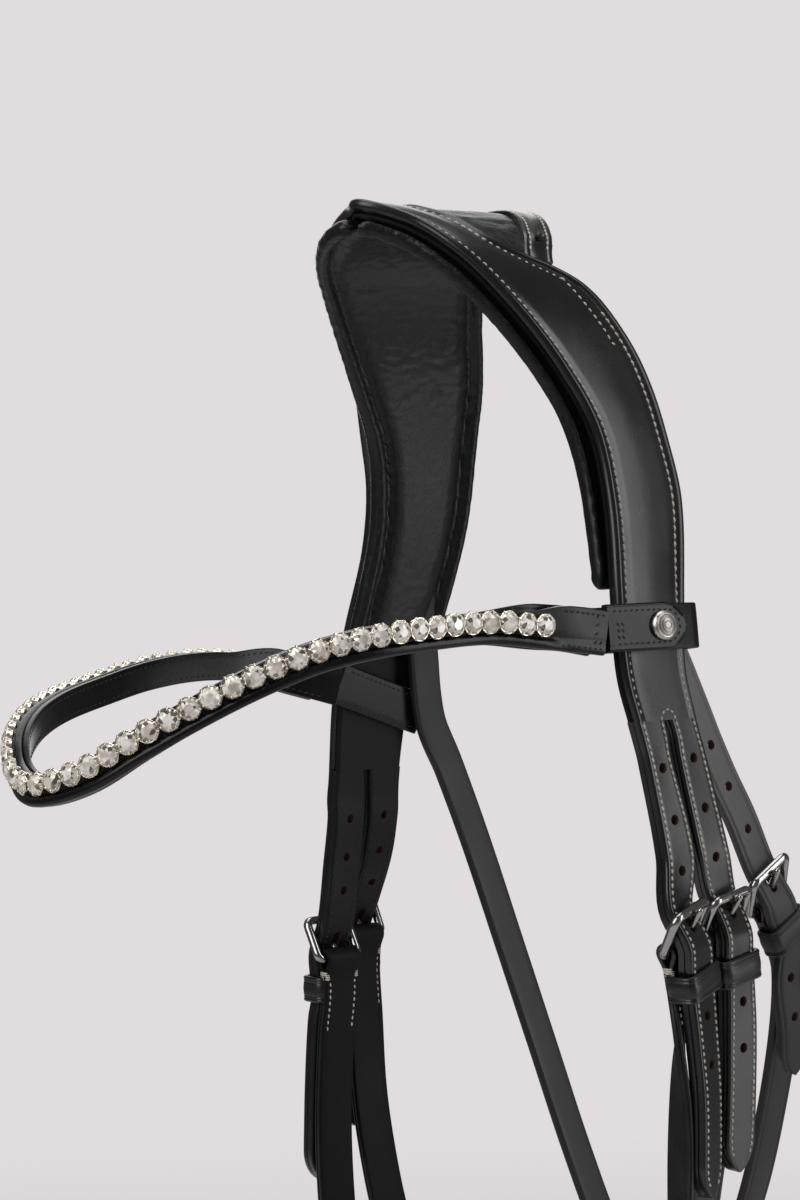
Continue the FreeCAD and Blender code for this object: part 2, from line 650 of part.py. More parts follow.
def loop_strap(inside):
    """Goes behind the headpiece, round its rear edge, and ends under the flap."""
    x = inside + LOOP_WALL
    y = LOOP_ROOM + LOOP_WALL
    hull = block((-x, -y, -LOOP_HEIGHT / 2), (x, y, LOOP_HEIGHT / 2))
    hull = hull.makeFillet(4.0, upright_edges(hull))
    room = block((-inside, -LOOP_ROOM, -20), (inside, LOOP_ROOM, 20))
    hull = hull.cut(room.makeFillet(2.4, upright_edges(room)))
    under_flap = block((4, 0, -20), (x + 1, y + 1, 20))
    front_end = block((inside - 1, -y - 1, -20), (x + 1, y, 20))
    return hull.cut(under_flap).cut(front_end)


def at_flap(shape, inside):
    """From the flap's own frame, hinge at the origin and outer face at y 0, to the loop's."""
    moved = shape.copy()
    moved.rotate(V(0, 0, 0), UP, -FLAP_RISE)
    moved.translate(V(inside + HINGE_IN, HINGE_Y, 0))
    return moved


def flap():
    half = LOOP_HEIGHT / 2 + 0.2
    hull = block((-FLAP_LENGTH, -TAB, -half), (-0.3, 0, half))
    across = [e for e in hull.Edges if abs(e.Vertexes[0].Y - e.Vertexes[1].Y) > 1]
    hull = hull.makeFillet(6.5, [e for e in across if e.Vertexes[0].X < -10])
    return hull.cut(Part.makeCylinder(STUD_R + 0.5, 10, V(-SNAP_X, -5, 0), V(0, 1, 0)))


def snap_cap():
    """A low dome over the flap's hole."""
    dome = Part.makeCylinder(CAP_R, 1.4, V(-SNAP_X, 0.02, 0), V(0, 1, 0))
    return dome.makeFillet(0.8, [e for e in dome.Edges if e.Closed and e.CenterOfMass.y > 1.3])


def stud(inside):
    x = inside + HINGE_IN - SNAP_X * math.cos(math.radians(FLAP_RISE))
    base = LOOP_ROOM + LOOP_WALL
    return Part.makeCylinder(STUD_R, 2.3, V(x, base, 0), V(0, 1, 0))


studs = []
for name, place, inside in (("near", NEAR_LOOP, NEAR_LOOP_HALF), ("far", FAR_LOOP, FAR_LOOP_HALF)):
    save(name + "_loop_strap", solid(set_down(loop_strap(inside), *place)))
    save(name + "_flap", solid(set_down(at_flap(flap(), inside), *place)))
    save(name + "_snap_cap", solid(set_down(at_flap(snap_cap(), inside), *place)))
    studs.append(set_down(stud(inside), *place))
save("snap_studs", Part.makeCompound(studs))

# ---------------------------------------------------------------- bit

EYE_R = 4.2              # wire ring at the inner end of each arm, to the middle of its wire
EYE_WIRE = 2.0
LINK_HALF = 8.0          # from the link's middle to each of its holes
LINK_HOLE = 3.4
LINK_RIM = 2.4
LINK_THICK = 3.0
BARREL_R = 8.0
BORE_R = 4.4
SWELL_R = 4.6            # lozenge in the middle of the link
REACH = RING_HALF - LINK_HALF - LINK_HOLE - LINK_RIM / 2
RING_LOW = RING_Z - RING_R


def bit_ring(side):
    y = MIDDLE_Y + side * RING_HALF
    return Part.makeTorus(RING_R, RING_WIRE, V(RING_X, y, RING_Z), V(0, 1, 0))


def mouthpiece_arm(side):
    """Drawn level along Y from the ring's lowest point, then let down."""
    barrel = Part.makeCylinder(BARREL_R, 12, V(-6, 0, 0), FORWARD)
    shaft = Part.makeCone(6.4, 4.6, REACH - EYE_R - 6, V(0, -5, 0), V(0, -1, 0))
    eye = Part.makeTorus(EYE_R, EYE_WIRE, V(0, -REACH, 0), FORWARD)
    arm = barrel.fuse(shaft).fuse(eye)
    arm = arm.cut(Part.makeCylinder(BORE_R, 40, V(-20, 0, 0.3), FORWARD))
    arm = arm.cut(Part.makeCylinder(EYE_R - EYE_WIRE, 20, V(-10, -REACH, 0), FORWARD))
    arm.rotate(V(0, 0, 0), FORWARD, MOUTH_DROP)
    return set_down(arm, side, (RING_X, MIDDLE_Y + side * RING_HALF, RING_LOW))


def centre_link():
    outer = LINK_HOLE + LINK_RIM
    low = -LINK_THICK / 2
    waist = outer - 0.5
    body = block((-waist, -LINK_HALF, low), (waist, LINK_HALF, -low))
    body = body.fuse(Part.makeSphere(SWELL_R).common(block((-6, -6, -3.4), (6, 6, 3.4))))
    for side in (NEAR, FAR):
        body = body.fuse(Part.makeCylinder(outer, LINK_THICK, V(0, side * LINK_HALF, low), UP))
    for side in (NEAR, FAR):
        body = body.cut(Part.makeCylinder(LINK_HOLE, 20, V(0, side * LINK_HALF, -10), UP))
    body.translate(V(RING_X, MIDDLE_Y, RING_LOW - REACH * math.sin(math.radians(MOUTH_DROP))))
    return body


save("near_bit_ring", bit_ring(NEAR))
save("far_bit_ring", bit_ring(FAR))
save("near_mouthpiece_arm", solid(mouthpiece_arm(NEAR)))
save("far_mouthpiece_arm", solid(mouthpiece_arm(FAR)))
save("centre_link", solid(centre_link()))

# Each cheekpiece's turned-up end is held by a hook stud and lies in a keeper
HOOK_Z = LOOP_TOP + 38
KEEPER_Z = LOOP_TOP + 57.5

hook_studs = []
for name, side in (("near", NEAR), ("far", FAR)):
    ring_y = MIDDLE_Y + side * RING_HALF
    inner_face = ring_y + side * (LOOP_IN - STRAP_THICK - 0.1)
    hook_studs.append(Part.makeCone(1.6, 3.4, 1.8, V(RING_X, inner_face, HOOK_Z), V(0, -side, 0)))
    ring = keeper(CHEEK_WIDTH + 1.6, LOOP_IN - STRAP_THICK - 0.6, LOOP_IN + STRAP_THICK + 3.2)
    save(name + "_bit_keeper", set_down(ring, side, (RING_X, ring_y, KEEPER_Z)))
save("hook_studs", Part.makeCompound(hook_studs))

# ---------------------------------------------------------------- noseband

NOSE_Z = -386.0
NOSE_WIDTH = 24.0
NOSE_THICK = 4.0
NOSE_PAD = 7.0
NOSE_SIDE = [(-46, 63), (-25, 65), (5, 65), (40, 60), (72, 46), (95, 24)]
NOSE_FRONT = 103.0


def round_the_nose(side_points, end_x, inward=0.0):
    """Closed half of an oval: near side, front (or back) and far side."""
    near = [(x, MIDDLE_Y + y, NOSE_Z, 0) for x, y in side_points]
    far = [(x, MIDDLE_Y - y, NOSE_Z, 0) for x, y in reversed(side_points)]
    line = near + [(end_x, MIDDLE_Y, NOSE_Z, 0)] + far
    return set_off(line, inward) if inward else line


save("noseband", ribbon(round_the_nose(NOSE_SIDE, NOSE_FRONT), NOSE_WIDTH, NOSE_THICK, UP))
pad_line = round_the_nose(NOSE_SIDE[1:], NOSE_FRONT, -(NOSE_THICK / 2 + NOSE_PAD / 2 + 0.1))
save("nose_pad", ribbon(pad_line, NOSE_WIDTH + 8, NOSE_PAD, UP))

CHIN_BAR = V(-64.0, MIDDLE_Y + 50.0, NOSE_Z)
CHIN_LEAN = 25.0         # degrees between the buckle's strap and the length of the head
CHIN_STRAP = 15.0
CHIN_BACK = [(-90, 27), (-95, 8), (-94, -12), (-87.5, -31), (-75.5, -46), (-60, -55),
             (-46, -58.6), (-34, -60)]
CHIN_TAB = [(-44, 58.6), (-34, 59.9)]
CHIN_TAIL = [(4.4, -18), (5.0, -7.5), (5.6, 1.0), (3.1, FRAME_RISE), (2.4, 21)]


def chin_point(y, z):
    """Point at y outward and z back from the chin buckle's bar."""
    back = V(-math.cos(math.radians(CHIN_LEAN)), -math.sin(math.radians(CHIN_LEAN)), 0)
    return CHIN_BAR + back.cross(UP) * y + back * z


def at_chin(shape):
    """Puts a piece drawn for an upright buckle on the chin: its X points up, its Z back."""
    origin = chin_point(0, 0)
    moved = shape.copy()
    turned = FreeCAD.Rotation(UP, chin_point(1, 0) - origin, chin_point(0, 1) - origin, "ZXY")
    moved.Placement = FreeCAD.Placement(origin, turned).multiply(moved.Placement)
    return moved


def chin_line(at_buckle, round_head):
    """A strap's line: first points given from the buckle's bar, then points given from the middle."""
    first = [chin_point(y, z) for y, z in at_buckle]
    return ([(p.x, p.y, p.z, 0) for p in first]
            + [(x, MIDDLE_Y + y, NOSE_Z, 0) for x, y in round_head])


chin_slot = block((-2.3, -4.4, -2), (2.3, 6.4, 40))
chin_slot.rotate(V(0, 0, 0), FORWARD, -math.degrees(math.atan2(tongue_tip().y, tongue_tip().z)))
chin_strap = ribbon(chin_line(CHIN_TAIL, CHIN_BACK), CHIN_STRAP, THROAT_BILLET, UP)
chin_strap = chin_strap.cut(at_chin(chin_slot))
chin_tab = ribbon(chin_line([(0, -4.5), (0, -14)], CHIN_TAB), CHEEK_WIDTH, STRAP_THICK, UP)
chin_tab = chin_tab.fuse(at_chin(fold(CHEEK_WIDTH)))
save("chin_strap", solid(chin_strap))
save("chin_tab", solid(chin_tab))
save("chin_buckle", at_chin(buckle_frame()))
save("chin_tongue", at_chin(tongue()))
save("chin_keeper", at_chin(keeper(CHEEK_WIDTH + 0.8, -STRAP_THICK / 2 - 0.3, 6.9)))
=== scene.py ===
import bpy
import math
import random
import bmesh
from mathutils import Matrix, Quaternion, Vector, noise


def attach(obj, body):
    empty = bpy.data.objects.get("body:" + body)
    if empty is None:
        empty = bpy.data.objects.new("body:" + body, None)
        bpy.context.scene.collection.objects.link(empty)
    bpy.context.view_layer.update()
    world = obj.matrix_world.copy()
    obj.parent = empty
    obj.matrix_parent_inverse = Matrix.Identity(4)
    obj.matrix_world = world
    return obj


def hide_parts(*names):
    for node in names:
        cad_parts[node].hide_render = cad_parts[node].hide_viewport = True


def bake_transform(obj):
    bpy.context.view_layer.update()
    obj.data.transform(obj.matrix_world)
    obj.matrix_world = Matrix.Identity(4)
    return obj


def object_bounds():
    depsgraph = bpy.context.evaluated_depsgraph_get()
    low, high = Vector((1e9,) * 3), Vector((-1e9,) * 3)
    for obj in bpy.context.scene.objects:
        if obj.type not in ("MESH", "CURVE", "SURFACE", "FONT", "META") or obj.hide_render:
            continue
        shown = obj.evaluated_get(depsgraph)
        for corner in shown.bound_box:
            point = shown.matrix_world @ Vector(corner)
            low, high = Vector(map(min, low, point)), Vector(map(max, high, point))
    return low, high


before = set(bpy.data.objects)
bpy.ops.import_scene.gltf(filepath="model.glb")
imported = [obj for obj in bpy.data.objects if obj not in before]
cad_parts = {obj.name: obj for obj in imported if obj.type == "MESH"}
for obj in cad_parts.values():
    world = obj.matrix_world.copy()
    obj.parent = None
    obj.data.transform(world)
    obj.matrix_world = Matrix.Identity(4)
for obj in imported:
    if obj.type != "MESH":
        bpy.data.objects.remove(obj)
cad_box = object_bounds()

# Snaffle bridle. Shapes are worked out in millimetres in the row frame (+X forward, +Y near side, +Z up)
# and turned into metres when a mesh is made.
MM = 0.001
UP = Vector((0, 0, 1))
FORWARD = Vector((1, 0, 0))
NEAR = 1
FAR = -1
random.seed(7)

PAD = 6.4                # foam pads under the crown's lining
BILLET_THICK = 5.5       # the crown's leather and lining together
STRAP_THICK = 3.3
CHEEK_WIDTH = 16.0
BILLET_WIDTH = 14.2
THROAT_WIDTH = 13.0
THROAT_BILLET = 2.8
PIVOT_Z = -200.0         # where the billets bend
MIDDLE_Y = -8.5          # centre plane between the cheeks
WIRE = 1.6               # buckle wire radius
FRAME_RISE = 13.5        # from a buckle's lower bar up to its top bar

# ---------------------------------------------------------------- lines and sections


def smooth(rows, key):
    """Values at key on a cubic that passes through the rows (key, value, value, ...)."""
    last = len(rows) - 1
    i = 0
    while i < last - 1 and key > rows[i + 1][0]:
        i += 1
    a = rows[i]
    b = rows[i + 1]
    before = rows[max(i - 1, 0)]
    after = rows[min(i + 2, last)]
    h = b[0] - a[0]
    t = (key - a[0]) / h
    values = []
    for j in range(1, len(a)):
        ma = h * (b[j] - before[j]) / (b[0] - before[0])
        mb = h * (after[j] - a[j]) / (after[0] - a[0])
        values.append((1 + 2 * t) * (1 - t) ** 2 * a[j] + t * (1 - t) ** 2 * ma
                      + t * t * (3 - 2 * t) * b[j] + t * t * (t - 1) * mb)
    return values


def with_lengths(points):
    """The points, each with its distance along the line put in front."""
    rows = [(0.0,) + tuple(points[0])]
    for p, q in zip(points, points[1:]):
        rows.append((rows[-1][0] + math.dist(p[:3], q[:3]),) + tuple(q))
    return rows


def ease(x, low, high):
    """0 below low, 1 above high, smooth between."""
    t = min(max((x - low) / (high - low), 0.0), 1.0)
    return t * t * (3 - 2 * t)


class Way:
    """A strap's line: at(d) gives its point, its direction, its width axis and its outward axis."""

    def __init__(self, points, across=FORWARD, side=NEAR):
        columns = max(len(p) for p in points)
        self.rows = with_lengths([tuple(p) + (0.0,) * (max(columns, 4) - len(p)) for p in points])
        self.across = across
        self.side = side
        self.length = self.rows[-1][0]

    def at(self, d):
        here = smooth(self.rows, d)
        ahead = Vector(smooth(self.rows, min(d + 0.5, self.length))[:3])
        back = Vector(smooth(self.rows, max(d - 0.5, 0))[:3])
        along = (ahead - back).normalized()
        width = (self.across - along * self.across.dot(along)).normalized()
        width = Quaternion(along, math.radians(here[3])) @ width
        outward = along.cross(width) * -self.side
        return Vector(here[:3]), along, width, outward

    def extra(self, d):
        return smooth(self.rows, d)[4]


APEX = (4.0, 12.0)
NEAR_ARCH = [(26, 0), (42, -20), (54, -48), (61, -78), (67.5, -118), (73.5, -178), (78, -222),
             (79, -300)]
FAR_ARCH = [(-18, 8), (-37, -4), (-52, -24), (-63, -54), (-73, -100), (-86, -153), (-94, -213),
            (-96.5, -300)]
ARCH_NEAR = with_lengths([APEX] + NEAR_ARCH)
ARCH_FAR = with_lengths([APEX] + FAR_ARCH)
ARCH = [(-s, y, z) for s, y, z in reversed(ARCH_FAR[1:])] + ARCH_NEAR


def arch_at(d):
    """Station on the crown's outer face: d runs from the far side over the apex (0) to the near side."""
    y, z = smooth(ARCH, d)
    y0, z0 = smooth(ARCH, d - 1)
    y1, z1 = smooth(ARCH, d + 1)
    along = Vector((0, y1 - y0, z1 - z0)).normalized()
    return Vector((0, y, z)), along, FORWARD, FORWARD.cross(along)


def arch_out(d):
    return arch_at(d)[3]


def on_arch(d, x, depth):
    return arch_at(d)[0] + FORWARD * x - arch_out(d) * depth


def spread(start, end, step):
    """Even distances from start to end, about a step apart."""
    count = max(1, round((end - start) / step))
    return [start + (end - start) * i / count for i in range(count + 1)]


def ring_arc(cx, cy, r, start, end, count):
    """Points on an arc between two angles in degrees."""
    angles = [math.radians(start + (end - start) * i / count) for i in range(count + 1)]
    return [(cx + r * math.cos(a), cy + r * math.sin(a)) for a in angles]


def strap_section(width, thick, crease=2.0, groove=0.22, dome=0.15, plies=False):
    """Loop of (across, outward) round a strap with rounded edges and a creased line near each edge."""
    h = width / 2
    t = thick / 2
    r = min(1.0, t * 0.6)
    top = [(-h + r, t), (-h + crease - 0.5, t + 0.03), (-h + crease, t - groove),
           (-h + crease + 0.5, t + 0.05), (-h * 0.5, t + dome * 0.8), (0, t + dome)]
    top = top + [(-u, v) for u, v in reversed(top[:-1])]
    edge = ring_arc(h - r, t - r, r, 68, 0, 3)
    if plies:
        edge += [(h, 0.5), (h - 0.12, 0.3), (h - 0.45, 0.15), (h - 0.12, 0.0)]
    edge += ring_arc(h - r, -t + r, r, 0, -68, 3)
    bottom = [(h - r, -t), (h * 0.5, -t - 0.04), (0, -t - 0.06), (-h * 0.5, -t - 0.04),
              (-h + r, -t)]
    other = [(-u, v) for u, v in reversed(edge)]
    return top + edge + bottom + other


# ---------------------------------------------------------------- meshes


def shade_smooth(mesh, sharp=None):
    """Smooth shading, with edges kept sharp above this angle in degrees."""
    mesh.polygons.foreach_set("use_smooth", [True] * len(mesh.polygons))
    if sharp:
        mesh.set_sharp_from_angle(angle=math.radians(sharp))


def make_mesh(name, verts, faces, material, sharp=40.0, recalc=True):
    """An object from points in millimetres; recalc merges doubles and turns the faces outward."""
    mesh = bpy.data.meshes.new(name)
    mesh.from_pydata([tuple(c * MM for c in v) for v in verts], [], faces)
    if recalc:
        bm = bmesh.new()
        bm.from_mesh(mesh)
        bmesh.ops.remove_doubles(bm, verts=bm.verts, dist=1e-7)
        bmesh.ops.recalc_face_normals(bm, faces=bm.faces)
        bm.to_mesh(mesh)
        bm.free()
    shade_smooth(mesh, sharp)
    mesh.materials.append(material)
    obj = bpy.data.objects.new(name, mesh)
    bpy.context.scene.collection.objects.link(obj)
    return obj


def sweep(name, stations, sections, material, closed=False, caps=(True, True)):
    """A mesh through sections placed at stations (point, along, width axis, outward axis)."""
    verts = []
    size = len(sections[0])
    for (p, along, w, n), section in zip(stations, sections):
        verts += [p + w * u + n * v for u, v in section]
    faces = []
    rows = len(stations)
    for i in range(rows if closed else rows - 1):
        a = i * size
        b = ((i + 1) % rows) * size
        for j in range(size):
            k = (j + 1) % size
            faces.append((a + j, a + k, b + k, b + j))
    if not closed:
        if caps[0]:
            faces.append(tuple(range(size)))
        if caps[1]:
            faces.append(tuple(range((rows - 1) * size, rows * size)))
    return make_mesh(name, verts, faces, material)


def tip_factor(left, length):
    """Share of the full width at this distance from a rounded point."""
    if left >= length:
        return 1.0
    t = max(left, 0.0) / length
    return max(0.06, (1 - (1 - t) ** 2.1) ** 0.72)


def squared(way, d, length):
    """A station whose width axis turns to lie along X within this length of the start."""
    p, along, width, outward = way.at(d)
    if length and d < length:
        share = ease(d, 0, length)
        slant = FORWARD / max(FORWARD.dot(width), 0.5)
        width = slant * (1 - share) + width * share
        width = width * (1.0 - (1 - share) * (1 - 1 / slant.length))
    return p, along, width, outward


def strap_mesh(name, way, width, thick, material, start=0.0, step=2.5, tip=0.0, head=0.0,
               caps=(True, True), crease=2.0, groove=0.22, dome=0.15, plies=False, widths=None,
               square=0.0, shift=None):
    """A strap along its way, with a rounded point of length tip at its end (head at its start).

    Its first sections lie along X where square is set, so that it continues the crown.
    """
    end = way.length
    ds = spread(start, end, step)
    if tip:
        ds = [d for d in ds if d < end - tip] + [end - tip * (1 - i / 12) ** 1.5 for i in range(13)]
    if head:
        rounded = [start + head * (i / 12) ** 1.5 for i in range(13)]
        ds = rounded + [d for d in ds if d > start + head]
    stations = [squared(way, d, square) for d in ds]
    sections = []
    for d in ds:
        factor = 1.0
        if tip:
            factor = min(factor, tip_factor(end - d, tip))
        if head:
            factor = min(factor, tip_factor(d - start, head))
        full = widths(d) if widths else width
        section = strap_section(full, thick, crease, groove, dome, plies)
        across = shift(d) if shift else 0.0
        sections.append([(u * factor + across, v) for u, v in section])
    return sweep(name, stations, sections, material, caps=caps)


class Threads:
    """Collects stitches and makes them into one mesh."""

    SIDES = 6

    def __init__(self):
        self.verts = []
        self.faces = []

    def stitch(self, centre, along, outward, length, radius):
        """One stitch: a short bead whose ends sink into the leather."""
        side = along.cross(outward).normalized()
        rings = [(-0.5, 0.35), (-0.4, 0.8), (-0.15, 1.0), (0.15, 1.0), (0.4, 0.8), (0.5, 0.35)]
        base = len(self.verts)
        for t, r in rings:
            sink = -radius * 1.3 * (abs(t) * 2) ** 3
            for k in range(self.SIDES):
                a = 2 * math.pi * k / self.SIDES
                self.verts.append(centre + along * (t * length)
                                  + outward * (sink + radius * r * math.sin(a))
                                  + side * (radius * r * math.cos(a)))
        last = base + (len(rings) - 1) * self.SIDES
        for a in range(base, last, self.SIDES):
            b = a + self.SIDES
            for k in range(self.SIDES):
                m = (k + 1) % self.SIDES
                self.faces.append((a + k, a + m, b + m, b + k))
        self.faces.append(tuple(base + k for k in range(self.SIDES)))
        self.faces.append(tuple(last + k for k in range(self.SIDES)))

    def row(self, points, pitch, radius=0.36, cover=0.74, slant=8.0):
        """Stitches along a line of (point, outward)."""
        rows = with_lengths([tuple(p) + tuple(n) for p, n in points])
        length = rows[-1][0]
        for i in range(int(length / pitch)):
            d = (i + 0.5) * pitch
            here = smooth(rows, d)
            p = Vector(here[:3])
            n = Vector(here[3:6]).normalized()
            ahead = Vector(smooth(rows, min(d + 0.4, length))[:3])
            along = ahead - Vector(smooth(rows, max(d - 0.4, 0))[:3])
            along = (along - n * along.dot(n)).normalized()
            along = Quaternion(n, math.radians(slant + random.uniform(-4, 4))) @ along
            self.stitch(p + n * random.uniform(-0.03, 0.03), along, n, pitch * cover, radius)

    def make(self, name, material):
        return make_mesh(name, self.verts, self.faces, material, sharp=80.0, recalc=False)


def evaluated_mesh(obj):
    """The mesh of an object with its modifiers applied."""
    graph = bpy.context.evaluated_depsgraph_get()
    return bpy.data.meshes.new_from_object(obj.evaluated_get(graph))


def punch(obj, centre, outward, radius=1.7, depth=9.0):
    """Punches a round hole that shows raw leather."""
    bm = bmesh.new()
    turn = UP.rotation_difference(outward).to_matrix().to_4x4()
    bmesh.ops.create_cone(bm, cap_ends=True, segments=20, radius1=radius * MM, radius2=radius * MM,
                          depth=depth * MM, matrix=Matrix.Translation(centre * MM) @ turn)
    cut_with(obj, bm, RAW)


def tongue_slot(obj, to_row):
    """Cuts the slot that lets a tongue through a strap's fold."""
    bm = bmesh.new()
    bmesh.ops.create_cube(bm, size=1.0)
    for v in bm.verts:
        v.co = to_row(v.co.x * 4.8, v.co.y * 12, v.co.z * 10.4 + 1.0) * MM
    bmesh.ops.recalc_face_normals(bm, faces=bm.faces)
    cut_with(obj, bm)


def cut_with(obj, bm, material=None):
    """Cuts the shape in bm out of an object; the cut faces take the cutter's material."""
    mesh = bpy.data.meshes.new("cutter")
    bm.to_mesh(mesh)
    bm.free()
    if material:
        mesh.materials.append(material)
    cutter = bpy.data.objects.new("cutter", mesh)
    bpy.context.scene.collection.objects.link(cutter)
    modifier = obj.modifiers.new("cut", "BOOLEAN")
    modifier.material_mode = "TRANSFER"
    modifier.object = cutter
    modifier.operation = "DIFFERENCE"
    modifier.solver = "EXACT"
    done = evaluated_mesh(obj)
    obj.modifiers.clear()
    old = obj.data
    obj.data = done
    bpy.data.meshes.remove(old)
    bpy.data.objects.remove(cutter)
    shade_smooth(done, 40)


def finish_piece(obj, body, slot, replaces=()):
    """Ties a piece to its body and hides the nodes it stands for; slot is not used."""
    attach(obj, body)
    if replaces:
        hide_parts(*replaces)


# ---------------------------------------------------------------- materials


def new_material(name, color, roughness, metallic=0.0):
    mat = bpy.data.materials.new(name)
    mat.use_nodes = True
    nodes = mat.node_tree.nodes
    shader = nodes["Principled BSDF"]
    shader.inputs["Base Color"].default_value = (*color, 1)
    shader.inputs["Roughness"].default_value = roughness
    shader.inputs["Metallic"].default_value = metallic
    return mat, mat.node_tree, shader


def node(tree, kind, **settings):
    """A new node: settings that name an input are its values, the others its own properties."""
    made = tree.nodes.new(kind)
    for key, value in settings.items():
        if key in made.inputs:
            made.inputs[key].default_value = value
        else:
            setattr(made, key, value)
    return made


def mix_color(tree, factor, a, b):
    """A mix of a color, or of a node's output, and color b."""
    mixer = tree.nodes.new("ShaderNodeMix")
    mixer.data_type = "RGBA"
    if isinstance(a, tuple):
        mixer.inputs["A"].default_value = (*a, 1)
    else:
        tree.links.new(a, mixer.inputs["A"])
    mixer.inputs["B"].default_value = (*b, 1)
    tree.links.new(factor, mixer.inputs["Factor"])
    return mixer.outputs["Result"]


def ramp(tree, source, low, high, to_low, to_high):
    made = tree.nodes.new("ShaderNodeMapRange")
    made.inputs["From Min"].default_value = low
    made.inputs["From Max"].default_value = high
    made.inputs["To Min"].default_value = to_low
    made.inputs["To Max"].default_value = to_high
    tree.links.new(source, made.inputs["Value"])
    return made.outputs["Result"]


def add(tree, a, b):
    made = tree.nodes.new("ShaderNodeMath")
    tree.links.new(a, made.inputs[0])
    tree.links.new(b, made.inputs[1])
    return made.outputs[0]


def scaled(tree, a, factor):
    made = tree.nodes.new("ShaderNodeMath")
    made.operation = "MULTIPLY"
    tree.links.new(a, made.inputs[0])
    made.inputs[1].default_value = factor
    return made.outputs[0]


def leather(name, color, roughness, grain=1.0, grain_size=1400.0, wrinkle=0.0, wrinkle_size=120.0,
            coat=0.0, wear=(0.03, 0.028, 0.026), wear_amount=0.5, strength=0.55, fade=None, gloss=0.42):
    """Dressed leather: pebble grain, fine pores, soft wrinkles, and a patchy polish.

    fade is (low, high, color): the heights in metres between which the leather turns paler, as a painted
    sheen.
    """
    mat, tree, shader = new_material(name, color, roughness)
    links = tree.links
    place = node(tree, "ShaderNodeTexCoord").outputs["Object"]
    cells = node(tree, "ShaderNodeTexVoronoi", Scale=grain_size, feature="DISTANCE_TO_EDGE",
                 Randomness=1.0)
    pores = node(tree, "ShaderNodeTexNoise", Scale=grain_size * 2.2, Detail=3.0, Roughness=0.6)
    patches = node(tree, "ShaderNodeTexNoise", Scale=38.0, Detail=4.0, Roughness=0.55)
    folds = node(tree, "ShaderNodeTexNoise", Scale=wrinkle_size, Detail=5.0, Roughness=0.55,
                 Distortion=0.9)
    for texture in (cells, pores, patches, folds):
        links.new(place, texture.inputs["Vector"])
    pebble = ramp(tree, cells.outputs["Distance"], 0.0, 0.22, 0.0, 1.0)
    height = add(tree, scaled(tree, pebble, 0.035 * grain),
                 scaled(tree, pores.outputs["Fac"], 0.05 * grain))
    if wrinkle:
        height = add(tree, height, scaled(tree, folds.outputs["Fac"], wrinkle))
    bump = node(tree, "ShaderNodeBump", Strength=strength, Distance=0.001)
    links.new(height, bump.inputs["Height"])
    links.new(bump.outputs["Normal"], shader.inputs["Normal"])
    polish = ramp(tree, patches.outputs["Fac"], 0.3, 0.7, roughness - 0.06, roughness + 0.08)
    links.new(polish, shader.inputs["Roughness"])
    spots = ramp(tree, patches.outputs["Fac"], 0.45, 0.8, 0.0, wear_amount)
    tint = mix_color(tree, spots, color, wear)
    if fade:
        split = node(tree, "ShaderNodeSeparateXYZ")
        links.new(place, split.inputs[0])
        share = ramp(tree, split.outputs["Z"], fade[0], fade[1], 0.0, 1.0)
        tint = mix_color(tree, share, tint, fade[2])
    links.new(tint, shader.inputs["Base Color"])
    shader.inputs["Coat Weight"].default_value = coat
    shader.inputs["Coat Roughness"].default_value = 0.22
    shader.inputs["Specular IOR Level"].default_value = gloss
    return mat


def thread_material(name, color):
    mat, tree, shader = new_material(name, color, 0.62)
    place = node(tree, "ShaderNodeTexCoord").outputs["Object"]
    fibres = node(tree, "ShaderNodeTexNoise", Scale=5200.0, Detail=2.0)
    stain = node(tree, "ShaderNodeTexNoise", Scale=160.0, Detail=2.0)
    tree.links.new(place, fibres.inputs["Vector"])
    tree.links.new(place, stain.inputs["Vector"])
    bump = node(tree, "ShaderNodeBump", Strength=0.6, Distance=0.0003)
    tree.links.new(fibres.outputs["Fac"], bump.inputs["Height"])
    tree.links.new(bump.outputs["Normal"], shader.inputs["Normal"])
    dull = ramp(tree, stain.outputs["Fac"], 0.4, 0.75, 0.0, 0.55)
    tint = mix_color(tree, dull, color, tuple(c * 0.55 for c in color))
    tree.links.new(tint, shader.inputs["Base Color"])
    return mat


def metal(name, color, roughness, scratch=0.0, size=900.0):
    mat, tree, shader = new_material(name, color, roughness, 1.0)
    place = node(tree, "ShaderNodeTexCoord").outputs["Object"]
    marks = node(tree, "ShaderNodeTexNoise", Scale=size, Detail=4.0, Roughness=0.7)
    smear = node(tree, "ShaderNodeTexNoise", Scale=140.0, Detail=3.0)
    tree.links.new(place, marks.inputs["Vector"])
    tree.links.new(place, smear.inputs["Vector"])
    dull = ramp(tree, smear.outputs["Fac"], 0.3, 0.7, roughness * 0.7, roughness * 1.5)
    tree.links.new(dull, shader.inputs["Roughness"])
    bump = node(tree, "ShaderNodeBump", Strength=0.25 + scratch, Distance=0.00004)
    tree.links.new(marks.outputs["Fac"], bump.inputs["Height"])
    tree.links.new(bump.outputs["Normal"], shader.inputs["Normal"])
    return mat


